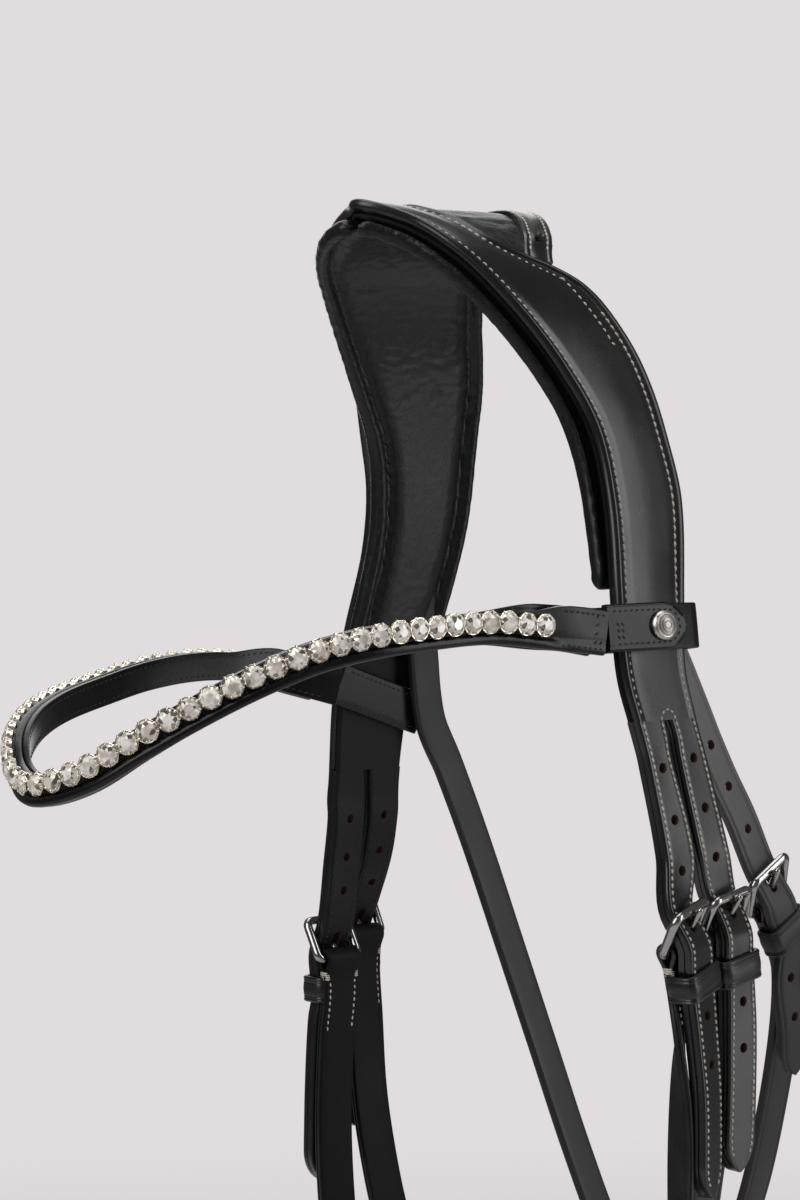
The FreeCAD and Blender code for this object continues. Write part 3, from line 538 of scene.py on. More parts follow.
OUTER = leather("outer_leather", (0.0055, 0.0055, 0.006), 0.27, grain=0.35, grain_size=1800,
                wrinkle=0.10, wrinkle_size=70, coat=0.35, wear=(0.012, 0.012, 0.012))
LINING_LEATHER = leather("lining_leather", (0.005, 0.0049, 0.0048), 0.48, grain=0.8, grain_size=1500,
                         gloss=0.2, wear=(0.012, 0.0115, 0.011))
# dark, dull leather of the straps' inner sides, also put on the far folds as painted shade
INNER_SIDE_AND_FAR_SHADE = leather("inner_side", (0.005, 0.0049, 0.005), 0.5, grain=0.7, grain_size=1500, wrinkle=0.06,
                gloss=0.13, wear=(0.01, 0.0098, 0.0098))
SOFT = leather("pad_leather", (0.0055, 0.0055, 0.0055), 0.33, grain=1.5, grain_size=1150,
               wrinkle=0.55, wrinkle_size=230, coat=0.25, wear=(0.009, 0.0088, 0.0085),
               strength=0.7, gloss=0.22)
STRAP = leather("strap_leather", (0.0075, 0.0074, 0.0075), 0.33, grain=0.5, grain_size=1700,
                wrinkle=0.08, coat=0.2)
BAND = leather("browband_leather", (0.0055, 0.0055, 0.006), 0.22, grain=0.35, grain_size=1800,
               wrinkle=0.12, coat=0.12, gloss=0.2)
THROAT = leather("throat_leather", (0.013, 0.013, 0.0138), 0.42, grain=0.6, grain_size=1600,
                 wrinkle=0.1)
# the throat billet turns paler toward its top: a painted sheen standing in for a softbox's reflection
THROAT_TOP_SHEEN_LEATHER = leather("throat_billet_leather", (0.013, 0.013, 0.0138), 0.42, grain=0.6,
                             grain_size=1600, wrinkle=0.1,
                             fade=(-0.235, -0.135, (0.17, 0.166, 0.163)))
FLESH = leather("flesh_side", (0.011, 0.0105, 0.0102), 0.88, grain=4.0, grain_size=900, wrinkle=0.8,
                wrinkle_size=420, wear=(0.03, 0.029, 0.028), wear_amount=0.8, gloss=0.2)
RAW = leather("raw_leather", (0.085, 0.042, 0.033), 0.8, grain=2.0, grain_size=1500,
              wear=(0.05, 0.028, 0.022))
CREAM = thread_material("cream_thread", (0.62, 0.585, 0.5))
BLACK_THREAD = thread_material("black_thread", (0.012, 0.012, 0.012))
GREY_THREAD = thread_material("grey_thread", (0.16, 0.155, 0.145))
STEEL = metal("polished_steel", (0.38, 0.375, 0.37), 0.15, 0.1)
CAP_STEEL = metal("brushed_cap", (0.50, 0.475, 0.44), 0.30, 0.5, size=1500)
BIT_STEEL = metal("stainless_bit", (0.66, 0.66, 0.655), 0.14, 0.1)
SETTING = metal("setting_metal", (0.86, 0.80, 0.69), 0.26, 0.2)

# ---------------------------------------------------------------- crown

# rows of (distance along the arch, x) for the crown's edges
CROWN_FRONT = [(-252, -17), (-235, -17), (-206, -15), (-178, -16), (-150, -18), (-125, -15),
               (-100, -4), (-80, 9), (-60, 23), (-40, 38), (-20, 47), (0, 51), (16, 39), (28, 32.5),
               (49, 21), (74, 6.5), (95, -3), (118, -5.5), (150, -4), (175, -5), (196, -11),
               (215, -16), (240, -20)]
CROWN_REAR = [(-252, -49), (-235, -48), (-206, -49), (-178, -51), (-150, -54), (-115, -53),
              (-85, -50), (-60, -41), (-40, -31), (-20, -28), (0, -27.5), (15, -22), (30, -16),
              (48, -23.3), (71, -32.3), (98, -37.5), (118, -40), (150, -36), (173, -34),
              (190, -37.5), (215, -44.5), (240, -49.5)]
WINDOW = [(-52, -36.8), (-46, -33.6), (-40, -25), (-31, 0), (-24, 9), (-12, 17), (0, 26), (12, 17),
          (24, 10), (31, 1), (36, -9), (41, -17), (46, -21.6), (52, -25.0)]
NEAR_TOP = 190.5         # where the crown divides into its billets
FAR_TOP = -233.0


def front_edge(s):
    return smooth(CROWN_FRONT, s)[0]


def rear_edge(s):
    return smooth(CROWN_REAR, s)[0]


def leather_front(s):
    """Front edge of the outer leather, a little behind the far pad's roll."""
    return front_edge(s) - 4.0 * ease(-s, 2, 14) * (1 - ease(-s, 80, 120))


def leather_rear(s):
    """Rear edge of the outer leather, which leaves a window over the poll."""
    if -52 < s < 52:
        return max(rear_edge(s), smooth(WINDOW, s)[0])
    return rear_edge(s)


def padded_edge(bead, rise=-0.1):
    """From under a turned edge, round it, to the flat of the leather: (distance from the edge, depth)."""
    flat = 1 - bead
    return [(7.0, 3.0), (3.2, 3.0 + 0.35 * bead), (1.5, 2.9 + 0.3 * bead),
            (0.45 + 0.1 * bead, 2.4), (0.0, 1.4), (0.1, 0.7 - 0.3 * bead),
            (0.55, 0.15 - 0.55 * bead), (1.3, -0.02 - 0.85 * bead),
            (1.9 + 0.4 * bead, 0.2 * flat - 0.9 * bead), (2.6 + 0.9 * bead, 0.0 - 0.45 * bead),
            (3.2 + 1.2 * bead, 0.3 * bead), (3.8 + 1.3 * bead, 0.32 * bead),
            (5.0 + 1.2 * bead, 0.02), (8.5, rise)]


def crown_section(s):
    """The outer leather's section, its beads flattening toward the billets."""
    front = leather_front(s)
    rear = leather_rear(s)
    bead = 0.25 + 0.75 * (1 - ease(abs(s), 135, 180))
    rear_bead = bead * 0.75
    width = front - rear
    dome = -0.35 * (1 - ease(abs(s), 145, 182))
    room = width / 2 - 0.5
    near_front = [(front - a, -b) for a, b in padded_edge(bead, dome * 0.3) if a < room]
    near_rear = [(rear + a, -b) for a, b in padded_edge(rear_bead, dome * 0.3) if a < room]
    middle = [(front - width * k, -dome * (1 - abs(2 * k - 1))) for k in (0.42, 0.5, 0.58)]
    return near_front + middle + near_rear[::-1]


def arch_sweep(name, ds, section_at, material, caps=(True, True)):
    """A mesh along the arch, with the section that section_at gives at each distance."""
    return sweep(name, [arch_at(s) for s in ds], [section_at(s) for s in ds], material, caps=caps)


# close stations over the window, wider ones beside it
ds = spread(FAR_TOP, -50, 3.0)[:-1] + spread(-50, 50, 1.25)[:-1] + spread(50, NEAR_TOP, 3.0)
crown = arch_sweep("crown_outer_leather", ds, crown_section, OUTER, (False, False))
finish_piece(crown, "headpiece", "outer_leather", ["crown_leather"])

stitching = Threads()
CREAM_PITCH = 2.7        # stitches of the crown and the noseband


def crown_row(edge, sign, start, end):
    """Stitches beside an edge of the crown, nearer to it where the beads end."""
    points = []
    for s in spread(start, end, 3.0):
        inset = 4.6 - 2.0 * ease(abs(s), 130, 185)
        points.append((on_arch(s, edge(s) + sign * inset, 0.05), arch_out(s)))
    stitching.row(points, CREAM_PITCH)


crown_row(leather_front, -1, FAR_TOP, NEAR_TOP)
crown_row(leather_rear, 1, 53, NEAR_TOP)
crown_row(leather_rear, 1, FAR_TOP, -53)
window_points = []
for s in spread(-41, 38, 1.5):
    slope = (leather_rear(s + 1) - leather_rear(s - 1)) / 2
    tilt = 1 / math.sqrt(1 + slope * slope)
    seat = on_arch(s + 4.4 * slope * tilt * -1, leather_rear(s) + 4.4 * tilt, 0.05)
    window_points.append((seat, arch_out(s)))
stitching.row(window_points, CREAM_PITCH)
# the short inner row at the near end of the window, with its turn
inner_row = [(on_arch(s, rear_edge(s) + 10.5 - 0.05 * (s - 40), -0.1), arch_out(s))
             for s in spread(40, 62, 2.0)]
for a in (0.5, 1.2, 1.9, 2.6):
    x = rear_edge(63) + 7.4 + 2.0 * math.cos(a)
    inner_row.append((on_arch(63.5 + 2.2 * math.sin(a), x, -0.1), arch_out(63)))
stitching.row(inner_row, CREAM_PITCH)
finish_piece(stitching.make("crown_stitching", CREAM), "headpiece", "outer_leather")


def lining_section(s):
    """The lining's section, set back from the outer leather's edges."""
    setback = 1.6 - 1.2 * ease(abs(s), 140, 185)
    shown = ease(abs(s), 16, 27)
    front = leather_front(s) - setback
    rear = rear_edge(s) * (1 - shown) + leather_rear(s) * shown + setback
    middle = (front + rear) / 2
    top = 3.45 - 0.4 * ease(abs(s), 140, 185)
    low = BILLET_THICK
    return [(front - 0.8, -top), (front, -top - 0.7), (front, -low + 0.7), (front - 0.8, -low),
            (middle, -low), (rear + 0.8, -low), (rear, -low + 0.7), (rear, -top - 0.7),
            (rear + 0.8, -top), (middle, -top)]


crown_lining = arch_sweep("crown_lining_leather", spread(FAR_TOP, NEAR_TOP, 3.0), lining_section,
                          LINING_LEATHER, (False, False))
finish_piece(crown_lining, "headpiece", "lining_leather", ["crown_lining"])

# ---------------------------------------------------------------- pads

# rows of (distance along the arch, front x, rear x)
NEAR_PAD = [(1.5, 54, -26), (16, 42.4, -21), (30, 34.6, -15), (49, 24.2, -21), (64, 15.6, -27),
            (86, 4.2, -33), (106, -1.0, -37), (126, -2.2, -38), (147, -2.2, -35)]
FAR_PAD = [(-188, -11, -53), (-160, -13, -57), (-138, -13, -59), (-112, -7, -58), (-87, 8, -55),
           (-60, 27, -45), (-46, 38, -38), (-32, 47, -33), (-18, 53, -30), (-2, 56, -27)]
PAD_TOP = BILLET_THICK + 0.1
NEAR_DEEP = 5.4
PAD_ROUND = 5.0          # length over which a pad's end rounds off

# from the seat of a pad round its roll to its flat: (distance from the edge, height share)
PAD_EDGE = [(9.0, 0.0), (3.0, 0.0), (1.2, 0.12), (0.3, 0.3), (0.0, 0.52), (0.35, 0.78),
            (1.4, 0.97), (2.8, 1.03), (4.2, 0.96), (5.2, 0.76), (5.9, 0.52), (6.5, 0.42),
            (7.1, 0.5), (8.2, 0.7), (10.0, 0.83), (13.5, 0.92)]
# the near pad's front roll stands out before the lining's edge
PROUD_EDGE = [(9.0, 0.0), (4.6, 0.02), (3.0, 0.0), (2.3, -0.08), (1.5, -0.17), (0.8, -0.1),
              (0.25, 0.1), (0.0, 0.36), (0.2, 0.6), (0.8, 0.82), (1.7, 0.96), (2.8, 1.02)] + PAD_EDGE[8:]


def pad_mesh(name, rows, start, end, deep=PAD, front_edge_rows=PAD_EDGE):
    """A foam pad: a roll round its edge, a seam inside the roll, and a raised flat."""
    ds = spread(start, end, 1.5)
    ds = sorted(set(ds + [start + 0.3, start + 0.8, end - 0.3, end - 0.8]))

    def section(s):
        front, rear = smooth(rows, s)
        nearest = min(s - start, end - s)
        t = min(nearest / PAD_ROUND, 1.0)
        full = max(math.sqrt(max(1 - (1 - t) ** 2, 0)), 0.12)
        inset = (1 - full) * 2.2
        raised = 0.16 * math.exp(-((nearest - 3.0) / 2.0) ** 2)
        roll = 1 + raised - 0.22 * math.exp(-((nearest - 6.7) / 1.3) ** 2)
        half = (front - rear) / 2

        def edge(profile):
            return [(x, -(PAD_TOP + deep * 0.5 + deep * (h - 0.5) * full * (roll if h > 0.6 else 1)))
                    for x, h in profile if x < half - 1]

        depth = PAD_TOP + deep * (0.5 + 0.43 * full) * (roll if nearest < 9 else 1)
        middle = [(front - 2 * half * k, -depth) for k in (0.4, 0.5, 0.6)]
        a = [(front - inset - x, v) for x, v in edge(front_edge_rows)]
        b = [(rear + inset + x, v) for x, v in edge(PAD_EDGE)]
        return a + middle + b[::-1]

    return arch_sweep(name, ds, section, SOFT)


INFLATE_FRAMES = 20


def inflate(obj, voxel, most):
    """Lets the foam press its cover out, as a cloth under pressure.

    No point moves further than most from the drawn shape.
    """
    soft = bpy.data.objects.new("soft", obj.data.copy())
    bpy.context.scene.collection.objects.link(soft)
    remesh = soft.modifiers.new("remesh", "REMESH")
    remesh.mode = "VOXEL"
    remesh.voxel_size = voxel * MM
    soft.data = evaluated_mesh(soft)
    soft.modifiers.clear()
    rest = [v.co.copy() for v in soft.data.vertices]
    seat = soft.vertex_groups.new(name="seat")
    normals = [v.normal.copy() for v in soft.data.vertices]
    # the side that lies on the lining faces away from the horse's head and stays where it is
    middle = Vector((0, MIDDLE_Y * MM, -0.06))
    held = [i for i, (co, n) in enumerate(zip(rest, normals))
            if n.dot((co - middle).normalized()) > 0.35]
    seat.add(held, 1.0, "REPLACE")
    cloth = soft.modifiers.new("cloth", "CLOTH")
    settings = cloth.settings
    settings.quality = 4
    settings.mass = 0.2
    settings.tension_stiffness = 12
    settings.compression_stiffness = 12
    settings.shear_stiffness = 8
    settings.bending_stiffness = 0.6
    settings.use_pressure = True
    settings.uniform_pressure_force = 4.0
    settings.vertex_group_mass = "seat"
    settings.effector_weights.gravity = 0.0
    cloth.collision_settings.use_self_collision = False
    cloth.point_cache.frame_start = 1
    cloth.point_cache.frame_end = INFLATE_FRAMES
    scene = bpy.context.scene
    for frame_number in range(1, INFLATE_FRAMES + 1):
        scene.frame_set(frame_number)
    graph = bpy.context.evaluated_depsgraph_get()
    pressed = soft.evaluated_get(graph)
    moved = [v.co.copy() for v in pressed.data.vertices]
    scene.frame_set(1)
    soft.modifiers.clear()
    mesh = soft.data
    for v, a, b in zip(mesh.vertices, rest, moved):
        shift = b - a
        limit = most * MM
        if shift.length > limit:
            shift = shift * (limit / shift.length)
        v.co = a + shift
    relax = soft.modifiers.new("relax", "SMOOTH")
    relax.factor = 0.5
    relax.iterations = 1
    smoother = soft.modifiers.new("smoother", "SUBSURF")
    smoother.levels = 1
    smoother.render_levels = 1
    done = evaluated_mesh(soft)
    done.materials.clear()
    done.materials.append(obj.data.materials[0])
    bpy.data.objects.remove(soft)
    obj.data = done
    shade_smooth(done)


def crumple(obj, amount, size, where=None, seed=0.0):
    """Moves points along their normals by smooth noise, as soft leather puckers over its foam."""
    normals = [v.normal.copy() for v in obj.data.vertices]
    for v, n in zip(obj.data.vertices, normals):
        q = v.co / MM
        share = where(q) if where else 1.0
        stretched = Vector((q.x / size, q.y / size, q.z / size * 1.7))
        ridged = 1 - abs(noise.noise(stretched + Vector((seed, 0, 0))) * 2)
        fine = noise.noise(Vector((q.x, q.y, q.z)) / (size * 0.45) + Vector((0, seed, 3)))
        v.co += n * (amount * share * ((ridged - 0.6) * 0.8 + fine * 0.5)) * MM
    obj.data.update()


def pad_where(q):
    """Pads pucker most over the poll."""
    return 0.35 + 0.65 * ease(q.z, -70, -25)


near_pad = pad_mesh("near_crown_pad", NEAR_PAD, 1.5, 147, NEAR_DEEP, PROUD_EDGE)
far_pad = pad_mesh("far_crown_pad", FAR_PAD, -188, -2)
inflate(near_pad, 1.1, 0.2)
inflate(far_pad, 1.2, 0.25)
crumple(near_pad, 0.16, 6.0, pad_where, 1.0)
crumple(far_pad, 0.22, 7.0, pad_where, 5.0)
finish_piece(near_pad, "headpiece", "pad_leather", ["near_pad"])
finish_piece(far_pad, "headpiece", "pad_leather", ["far_pad"])

pad_seams = Threads()
for rows, start, end, deep in ((NEAR_PAD, 8, 145, NEAR_DEEP), (FAR_PAD, -184, -8, PAD)):
    for column, sign in ((0, -1), (1, 1)):
        points = []
        for s in spread(start, end, 3.0):
            x = smooth(rows, s)[column] + sign * 6.5
            points.append((on_arch(s, x, PAD_TOP + deep * 0.46), -arch_out(s)))
        pad_seams.row(points, 2.9, radius=0.3)
finish_piece(pad_seams.make("pad_seams", BLACK_THREAD), "headpiece", "pad_leather")

# insert in the window, and the strap over it
INSERT = [(-34, -14, -27), (-30, -3, -26), (-24, 8, -27), (-12, 16, -27), (0, 25, -26.5),
          (12, 16, -23), (24, 9, -16.5), (30, 0, -10.5), (35, -9, -12)]


def insert_section(s):
    front, rear = smooth(INSERT, s)
    front += 1.5
    puff = 0.7 * (1 - (s / 34) ** 2)
    width = front - rear
    shares = (0.0, 0.06, 0.12, 0.2, 0.3, 0.4, 0.5, 0.6, 0.7, 0.8, 0.88, 0.95, 1.0)
    top = [(front - width * k, -(0.9 - puff * math.sin(math.pi * k) ** 0.6)) for k in shares]
    return top + [(rear - 0.5, -1.7), (rear, -2.9), ((front + rear) / 2, -2.95), (front, -2.9)]


insert = arch_sweep("poll_insert", spread(-33, 31, 1.2), insert_section, SOFT)
crumple(insert, 0.5, 5.0, None, 9.0)
finish_piece(insert, "headpiece", "pad_leather", ["crown_insert"])

POLL_STRAP = [(-34, -5, -18), (-31, -6, -19), (-20, -10, -23), (-10, -13, -26.5), (0, -15, -28.5),
              (10, -11, -24.5), (20, -5, -18.5), (31, 1, -12), (34, 2.4, -10.5)]
# (distance in from either edge, outward) over the top and round the two plies of the edge
POLL_TOP = [(0.9, 0.0), (2.2, 0.05), (2.7, -0.25), (3.3, 0.03)]
POLL_EDGE = [(0.25, -0.35), (0.0, -1.0), (0.12, -1.28), (0.0, -1.5), (0.25, -2.3), (0.9, -2.6)]


def poll_depth(s):
    """The strap dips under the crown's leather at both ends."""
    return -1.2 + 1.7 * ease(abs(s), 20, 30)


def poll_section(s):
    front, rear = smooth(POLL_STRAP, s)
    d = poll_depth(s)
    middle = (front + rear) / 2
    loop = [(front - u, v - d) for u, v in POLL_TOP] + [(middle, 0.12 - d)]
    loop += [(rear + u, v - d) for u, v in POLL_TOP[::-1] + POLL_EDGE]
    return loop + [(middle, -d - 2.6)] + [(front - u, v - d) for u, v in POLL_EDGE[::-1]]


poll_strap = arch_sweep("poll_strap_leather", spread(-33, 33, 1.5), poll_section, OUTER)
finish_piece(poll_strap, "headpiece", "outer_leather", ["poll_strap"])
poll_stitches = Threads()
for column, sign in ((0, -1), (1, 1)):
    points = []
    for s in spread(-28, 28, 2.0):
        x = smooth(POLL_STRAP, s)[column] + sign * 2.7
        points.append((on_arch(s, x, poll_depth(s) + 0.1), arch_out(s)))
    poll_stitches.row(points, 2.6)
finish_piece(poll_stitches.make("poll_strap_stitching", CREAM), "headpiece", "outer_leather")

# ---------------------------------------------------------------- pieces placed like the buckles


def set_point(p, side, origin, lean=0.0, turn=0.0, tilt=0.0):
    """From X forward, Y outward, Z up to the row frame: lean, turn, tilt (about Y, Z, X), mirror."""
    q = Matrix.Rotation(math.radians(lean), 3, "Y") @ Vector(p)
    q = Matrix.Rotation(math.radians(turn), 3, "Z") @ q
    q = Matrix.Rotation(math.radians(tilt), 3, "X") @ q
    return Vector((origin[0] + q.x, origin[1] + side * q.y, origin[2] + q.z))


def placed(place):
    """The function that takes a place's own x, y, z to the row frame."""
    return lambda x, y, z: set_point((x, y, z), *place)


def axis_of(to_row, x, y, z):
    """A direction of a place, in the row frame."""
    return (to_row(x, y, z) - to_row(0, 0, 0)).normalized()


# side, middle of the lower bar, and the degrees by which each buckle leans and turns
BUCKLES = {
    "near_cheek": (NEAR, (-26.0, 73.4, -230.0), 14.0, 11.0),
    "near_nose": (NEAR, (-48.6, 70.8, -228.0), 9.0, 4.0),
    "near_throat": (NEAR, (-75.5, 68.0, -220.0), 29.0, 0.0),
    "far_cheek": (FAR, (-22.5, -91.0, -251.5), 1.0, 0.0),
    "far_nose": (FAR, (-43.4, -101.4, -246.0), -2.0, 0.0),
}
STRAP_BODY = {"near_cheek": "cheeks", "far_cheek": "cheeks", "near_nose": "noseband",
              "far_nose": "noseband", "near_throat": "throatlash"}


def buckle_turn(place):
    return -place[3] * place[0]


def loop_path(half, inner, outer):
    """Closed rounded rectangle (x, y) with its outward normals."""
    radius = 1.6
    steps = 4
    corners = [(half - radius, outer - radius, 0), (-half + radius, outer - radius, 90),
               (-half + radius, inner + radius, 180), (half - radius, inner + radius, 270)]
    path = []
    for cx, cy, start in corners:
        for i in range(steps + 1):
            a = math.radians(start + 90 * i / steps)
            c = math.cos(a)
            s = math.sin(a)
            path.append(((cx + radius * c, cy + radius * s), (c, s)))
    dense = []
    for (p, n), (q, m) in zip(path, path[1:] + path[:1]):
        gap = math.dist(p, q)
        count = max(1, round(gap / 3.0))
        for i in range(count):
            t = i / count
            dense.append(((p[0] + (q[0] - p[0]) * t, p[1] + (q[1] - p[1]) * t),
                          (n[0] + (m[0] - n[0]) * t, n[1] + (m[1] - n[1]) * t)))
    return dense


KEEPER_Z = -11.3         # a keeper's middle, below its buckle's lower bar
KEEPER_HEIGHT = 9.5
KEEPER_THICK = 1.5


def keeper_section():
    """(along the strap, outward) round a keeper's cross-section, with raised lines near both edges."""
    h = KEEPER_HEIGHT / 2
    t = KEEPER_THICK
    outer = [(-h + 0.4, t), (-h + 0.9, t + 0.12), (-h + 1.35, t - 0.15), (-h + 1.75, t + 0.1),
             (-h + 2.15, t - 0.12), (-h + 2.6, t + 0.05), (0, t + 0.22)]
    edge = [(h - 0.1, t * 0.75), (h, t * 0.5), (h - 0.15, 0.15), (h - 0.6, 0)]
    return (outer + [(-u, v) for u, v in outer[-2::-1]]
            + edge + [(-u, v) for u, v in edge[::-1]])


def keeper_mesh(name, to_row, width, inner, outer, material):
    """A loop round a strap: its inside is width by inner..outer."""
    stations = []
    axis = axis_of(to_row, 0, 0, 1)
    for (x, y), (nx, ny) in loop_path(width / 2, inner, outer):
        n = axis_of(to_row, nx, ny, 0)
        stations.append((to_row(x, y, KEEPER_Z), axis.cross(n), axis, n))
    return sweep(name, stations, [keeper_section()] * len(stations), material, closed=True)


for key, place in BUCKLES.items():
    throat = key == "near_throat"
    outer = 4.6 + THROAT_BILLET / 2 if throat else 5.6 + BILLET_THICK / 2
    piece = keeper_mesh(key + "_keeper_loop", placed(place), CHEEK_WIDTH + 0.6, 0.8, outer + 0.6,
                        THROAT if throat else STRAP)
    slot = "throat_leather" if throat else "strap_leather"
    finish_piece(piece, STRAP_BODY[key], slot, [key + "_keeper"])

# ---------------------------------------------------------------- billets

# rows of (distance along the arch, front x, rear x) for the slot between the two billets
NEAR_SLOT = [(188, -22, -24), (200, -24.5, -27.5), (300, -32.3, -33.9)]
FAR_SLOT = [(-300, -32.3, -33.9), (-245, -32, -34), (-233, -30.5, -32.5)]
# points (x, y, z, turn) before and after the way through the buckle
BILLET_TAIL = {
    "near_cheek": [(-25.2, 73.2, -200), "buckle", (-32.0, 78.8, -258, -14), (-33.8, 79.3, -280, -18),
                   (-34.0, 79.3, -312.5, -18)],
    "near_nose": [(-41.4, 73.2, -200), "buckle", (-52.4, 76.2, -260), (-52.6, 75.8, -284),
                  (-52.0, 75.4, -307)],
    "far_cheek": [(-24.6, -89.4, -200), (-24.2, -91.2, -216), "buckle", (-21.5, -97.0, -275),
                  (-20.5, -97.6, -300), (-20.0, -97.9, -334)],
    "far_nose": [(-41.2, -89.6, -200), (-41.8, -93.4, -215), "buckle", (-43.6, -106.8, -270),
                 (-42.6, -106.4, -292), (-41.4, -105.6, -318)],
}
NEAR_HEAD = (NEAR_TOP, 196, 203)
FAR_HEAD = (FAR_TOP, -239, -244)


def billet_limits(key, s):
    """Front and rear x of a billet where it leaves the crown."""
    slot = NEAR_SLOT if s > 0 else FAR_SLOT
    front_side, rear_side = smooth(slot, s)
    if key.endswith("cheek"):
        return front_edge(s) - 0.1, front_side
    return rear_side, rear_edge(s) + 0.1


def billet_way(key):
    """A billet's line from the crown through its buckle, with its width in the last column."""
    place = BUCKLES[key]
    points = []
    for s in NEAR_HEAD if key.startswith("near") else FAR_HEAD:
        front, rear = billet_limits(key, s)
        p = on_arch(s, (front + rear) / 2, BILLET_THICK / 2)
        points.append((p.x, p.y, p.z, 0.0, front - rear))
    for entry in BILLET_TAIL[key]:
        if entry == "buckle":
            for y, z in ((1.4, FRAME_RISE), (6.6, 1.0), (6.1, -7.5), (5.7, -16.0)):
                points.append(tuple(set_point((0, y, z), *place)) + (buckle_turn(place), BILLET_WIDTH))
        else:
            turn = entry[3] if len(entry) > 3 else 0.0
            points.append(tuple(entry[:3]) + (turn, BILLET_WIDTH))
    return Way(points, FORWARD, place[0])


def rows_at_heights(way, heights):
    """Distances along a way at which it reaches these heights."""
    found = []
    for z in heights:
        low, high = 0.0, way.length
        for _ in range(30):
            middle = (low + high) / 2
            if way.at(middle)[0].z > z:
                low = middle
            else:
                high = middle
        found.append(low)
    return found


HOLE_HEIGHTS = {
    "near_cheek": (-171.5, -188.5, -205.0, -252.5, -268.5),
    "near_nose": (-169.0, -185.5, -201.5, -250.0, -265.5),
    "far_cheek": (-200.5, -214.5, -227.0, -284.0, -300.0),
    "far_nose": (-200.0, -213.0, -225.0, -282.0, -297.0),
}


def set_under(obj, way, material, count):
    """Gives the inner side of a strap another material."""
    obj.data.materials.append(material)
    stations = [way.at(way.length * i / count) for i in range(count + 1)]
    for face in obj.data.polygons:
        c = face.center / MM
        p, along, w, n = min(stations, key=lambda s: (s[0] - c).length_squared)
        if face.normal.dot(n) < -0.35:
            face.material_index = 1


def cross_joint(obj, child, x, y):
    """Bakes a billet piece's placement into its mesh."""
    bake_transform(obj)


FINE_PITCH = 2.3         # stitches of the billets and the straps
BILLET_INSET = 2.1       # from a billet's edge in to its stitches
BILLET_TIP = 11.5        # length of a billet's rounded point
BILLET_SQUARE = 22.0     # length over which a billet turns from lying along X


def punch_row(obj, way, ds, tongue_d, radius=1.7, depth=9.0):
    """Punches holes at these distances, and three in a row for the tongue in use."""
    for d in ds + [tongue_d - 1.6, tongue_d, tongue_d + 1.6]:
        centre, along, w, n = way.at(d)
        punch(obj, centre, n, radius, depth)


def billet_rows(threads, way, face, lift, radius, taper):
    """Stitches beside both edges of one face (1 outer, -1 inner), running in to the point if asked."""
    for sign in (-1, 1):
        points = []
        for d in spread(0.5, way.length - 12, 3.0):
            p, along, w, n = squared(way, d, BILLET_SQUARE)
            side = w * (sign * (way.extra(d) / 2 - BILLET_INSET))
            points.append((p + side + n * face * (BILLET_THICK / 2 + lift), n * face))
        for i in range(1, 9) if taper else ():
            d = way.length - 12 + i
            p, along, w, n = way.at(d)
            half = BILLET_WIDTH / 2 * tip_factor(way.length - d, BILLET_TIP)
            side = w * sign * max(half - BILLET_INSET, 0.2)
            points.append((p + side + n * (BILLET_THICK / 2 + lift), n))
        threads.row(points, FINE_PITCH, radius)


for key, place in BUCKLES.items():
    if key == "near_throat":
        continue
    way = billet_way(key)
    child = STRAP_BODY[key]
    piece = strap_mesh(key + "_billet_strap", way, BILLET_WIDTH, BILLET_THICK, OUTER, step=2.0,
                       tip=BILLET_TIP, caps=(False, True), crease=2.2, groove=0.04, dome=0.04,
                       plies=True, widths=way.extra, square=BILLET_SQUARE)
    set_under(piece, way, LINING_LEATHER, 120)
    tongue_d = rows_at_heights(way, [set_point((0, 4.5, 7.5), *place).z])[0]
    punch_row(piece, way, rows_at_heights(way, HOLE_HEIGHTS[key]), tongue_d, 1.75, 11)
    threads = Threads()
    billet_rows(threads, way, 1, 0.1, 0.36, True)
    stitch_piece = threads.make(key + "_billet_stitching", CREAM)
    back = Threads()
    billet_rows(back, way, -1, 0.02, 0.32, False)
    back_piece = back.make(key + "_billet_back_stitching", BLACK_THREAD)
    for obj in (piece, stitch_piece, back_piece):
        cross_joint(obj, child, *way.at(rows_at_heights(way, [PIVOT_Z])[0])[0].xy)
    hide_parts(key + "_billet")

# U of stitches round the top of each slot
slot_stitches = Threads()
for s0, sign in ((NEAR_TOP, 1), (FAR_TOP, -1)):
    rows = NEAR_SLOT if sign > 0 else FAR_SLOT
    cx = sum(smooth(rows, s0)) / 2
    points = []
    for i in range(9):
        a = math.pi * i / 8
        x = cx + 3.3 * math.cos(a)
        s = s0 - sign * (3.8 * math.sin(a) - 0.4)
        points.append((on_arch(s, x, 0.05), arch_out(s)))
    slot_stitches.row(points, 2.2)
finish_piece(slot_stitches.make("slot_stitching", CREAM), "headpiece", "outer_leather")

# ---------------------------------------------------------------- straps below the buckles

BIT_RING_Z = -486.0
RING_R = 32.0
RING_X = -26.0
RING_HALF = 68.0
LOOP_IN = 4.6
LOOP_TOP = BIT_RING_Z + RING_R - 0.5
CAD_STRAP = 3.5


def bit_loop(side):
    """A cheekpiece's end: down outside the bit ring, round under its top and up again inside."""
    r = LOOP_IN + CAD_STRAP / 2
    # (outward from the ring, above the ring's top)
    path = [(r + 0.4, 40), (r + 0.1, 16)]
    for step in range(7):
        a = math.radians(30 * step)
        path.append((r * math.cos(a), -r * math.sin(a)))
    path += [(0.8 - r, 9), (0, 20), (r - CAD_STRAP - 0.2, 31), (r - CAD_STRAP, 46)]
    return [(RING_X, MIDDLE_Y + side * (RING_HALF + u), LOOP_TOP + v, 0) for u, v in path]


